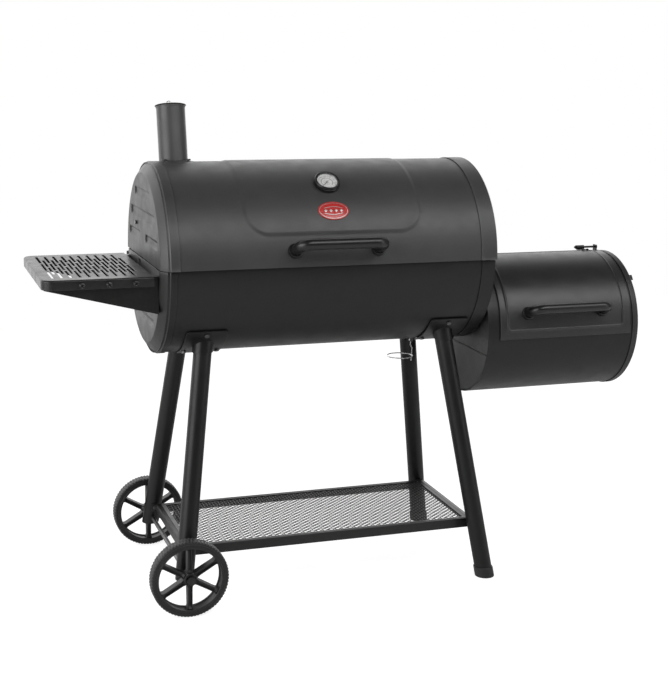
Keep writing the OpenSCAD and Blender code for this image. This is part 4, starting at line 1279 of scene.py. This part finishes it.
def dress(nodes, mat, bevel=0.5, smooth=35):
    """CAD nodes that stay in view: their material, softened edges and even shading."""
    for node in nodes:
        obj = frame["nodes"][node]
        obj.data.materials.clear()
        obj.data.materials.append(mat)
        weld = obj.modifiers.new("Weld", "WELD")
        weld.merge_threshold = 0.00001
        finish_edges(obj, bevel, smooth)


def build_kept_nodes():
    dress(["frame_bolts", "hinge_pins"], DARK_ZINC, 0.5)
    dress(["axle_hardware"], STUD, 0.5)
    dress(["lid_bolts"], LID_COAT, 0.5)
    dress(["hinge_base_leaves", "hinge_lid_leaves", "duct_collar", "firebox_damper",
           "firebox_hinge_brackets"], BODY_COAT, 0.4)
    dress(["side_bracket_front", "side_bracket_rear"], FRAME_COAT, 0.4)
    dress(["grate_left", "grate_middle", "grate_right", "firebox_grate"], IRON, 1.0)
    dress(["grate_ledges", "charcoal_tray", "tray_stands"], SOOT, 0.4)
    dress(["warming_rack", "rack_bail"], DARK_ZINC, 0.0)
    dress(["grease_hanger"], BRIGHT_WIRE, 0.0)


# ---- studio ----
def build_floor():
    """Pale floor: lit and shaded for the camera, dimmer in what it throws back at the object."""
    mesh = bpy.data.meshes.new("studio_floor")
    size, z = 3.6, -0.0006
    corners = ((-1, -1), (1, -1), (1, 1), (-1, 1))
    mesh.from_pydata([(sx * size, sy * size, z) for sx, sy in corners], [], [(0, 1, 2, 3)])
    floor = bpy.data.objects.new("studio_floor", mesh)
    bpy.context.scene.collection.objects.link(floor)
    mesh.materials.append(FLOOR)
    floor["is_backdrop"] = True


def build_world():
    """A bright backdrop behind the object, dim room in front, plain white to the camera."""
    world = bpy.data.worlds.new("studio")
    bpy.context.scene.world = world
    world.use_nodes = True
    tree = world.node_tree
    join = tree.links.new
    seen = tree.nodes["Background"]
    seen.inputs["Strength"].default_value = 1.0
    seen.inputs["Color"].default_value = (1, 1, 1, 1)
    room = new_node(tree, "Background")
    split = new_node(tree, "SeparateXYZ")
    join(new_node(tree, "TexCoord").outputs["Generated"], split.inputs[0])

    def lobe(axis, start, end, strength):
        m = new_node(tree, "MapRange", From_Min=start, From_Max=end, To_Min=0, To_Max=strength)
        m.interpolation_type = "SMOOTHSTEP"
        join(split.outputs[axis], m.inputs["Value"])
        return m.outputs["Result"]

    total = lobe("Y", 0.25, 0.85, BACKDROP)
    walls = (("X", -0.25, -0.95, LEFT_WALL), ("X", 0.3, 0.95, RIGHT_WALL), ("Z", -2.0, -1.9, ROOM))
    for wall in walls:
        add = new_node(tree, "Math")
        add.operation = "ADD"
        join(total, add.inputs[0])
        join(lobe(*wall), add.inputs[1])
        total = add.outputs[0]
    join(total, room.inputs["Strength"])
    camera_split(tree, room, seen, tree.nodes["World Output"])


BACKDROP, LEFT_WALL, RIGHT_WALL, ROOM = 2.0, 0.3, 0.2, 0.10


def build_lights():
    def panel(name, at, look, size, power):
        light = bpy.data.lights.new(name, "AREA")
        light.shape = "RECTANGLE"
        light.size, light.size_y = size
        light.energy = power
        obj = bpy.data.objects.new(name, light)
        obj.location = at
        obj.rotation_euler = (Vector(look) - Vector(at)).to_track_quat("-Z", "Y").to_euler()
        bpy.context.scene.collection.objects.link(obj)

    panel("softbox_front", (1.2, -3.1, 3.6), (0.2, 0, 0.9), (4.6, 1.6), 96)
    panel("softbox_left", (-4.0, -1.3, 1.6), (0, 0, 0.9), (3.4, 2.6), 104)
    panel("softbox_right", (3.2, -2.6, 1.4), (0, 0, 0.8), (1.4, 2.2), 16)


def build_studio():
    build_floor()
    build_world()
    build_lights()


def build_camera():
    """The photograph's own camera, solved from its outline and kept in the barrel's frame."""
    azimuth, pitch, roll = (radians(v) for v in (-18.4, 11.9, 0.642))
    width = 668.0
    forward = Vector((-sin(azimuth) * cos(pitch), cos(azimuth) * cos(pitch), -sin(pitch)))
    right = Vector((cos(azimuth), sin(azimuth), 0))
    up = right.cross(forward)
    x = right * cos(roll) + up * sin(roll)
    y = -right * sin(roll) + up * cos(roll)
    data = bpy.data.cameras.new("photo_camera")
    data.sensor_fit = "HORIZONTAL"
    data.sensor_width = 36
    data.lens = 1352.5 / width * 36
    data.shift_x = 4.9 / width
    data.shift_y = 0.5 / width
    data.clip_end = 100
    cam = bpy.data.objects.new("photo_camera", data)
    m = Matrix((x, y, -forward)).transposed().to_4x4()
    m.translation = place((-1094.2, -3489.7, 1406.1))
    cam.matrix_world = m
    bpy.context.scene.collection.objects.link(cam)
    bpy.context.scene.camera = cam
    bpy.context.scene.view_settings.view_transform = "Standard"


build_lid_shell()
build_barrel_caps()
build_base_shell()
build_drain()
build_handles()
build_gauge_case()
build_gauge_dial()
build_gauge_needle()
build_gauge_lens()
build_badge()
build_stack()
build_side_shelf()
build_legs()
build_saddles()
build_shelf_frame()
build_shelf_mesh()
build_wheel("front", -1)
build_wheel("rear", 1)
build_axle()
build_firebox_shell()
build_firebox_door()
build_firebox_right_end()
build_firebox_left_end()
build_ash_drawer()
build_kept_nodes()
build_studio()
build_camera()

sizes = {"cad_low_high_m": CAD_BOUNDS, "visual_low_high_m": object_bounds()}
sizes = {key: [[round(v, 5) for v in corner] for corner in value] for key, value in sizes.items()}
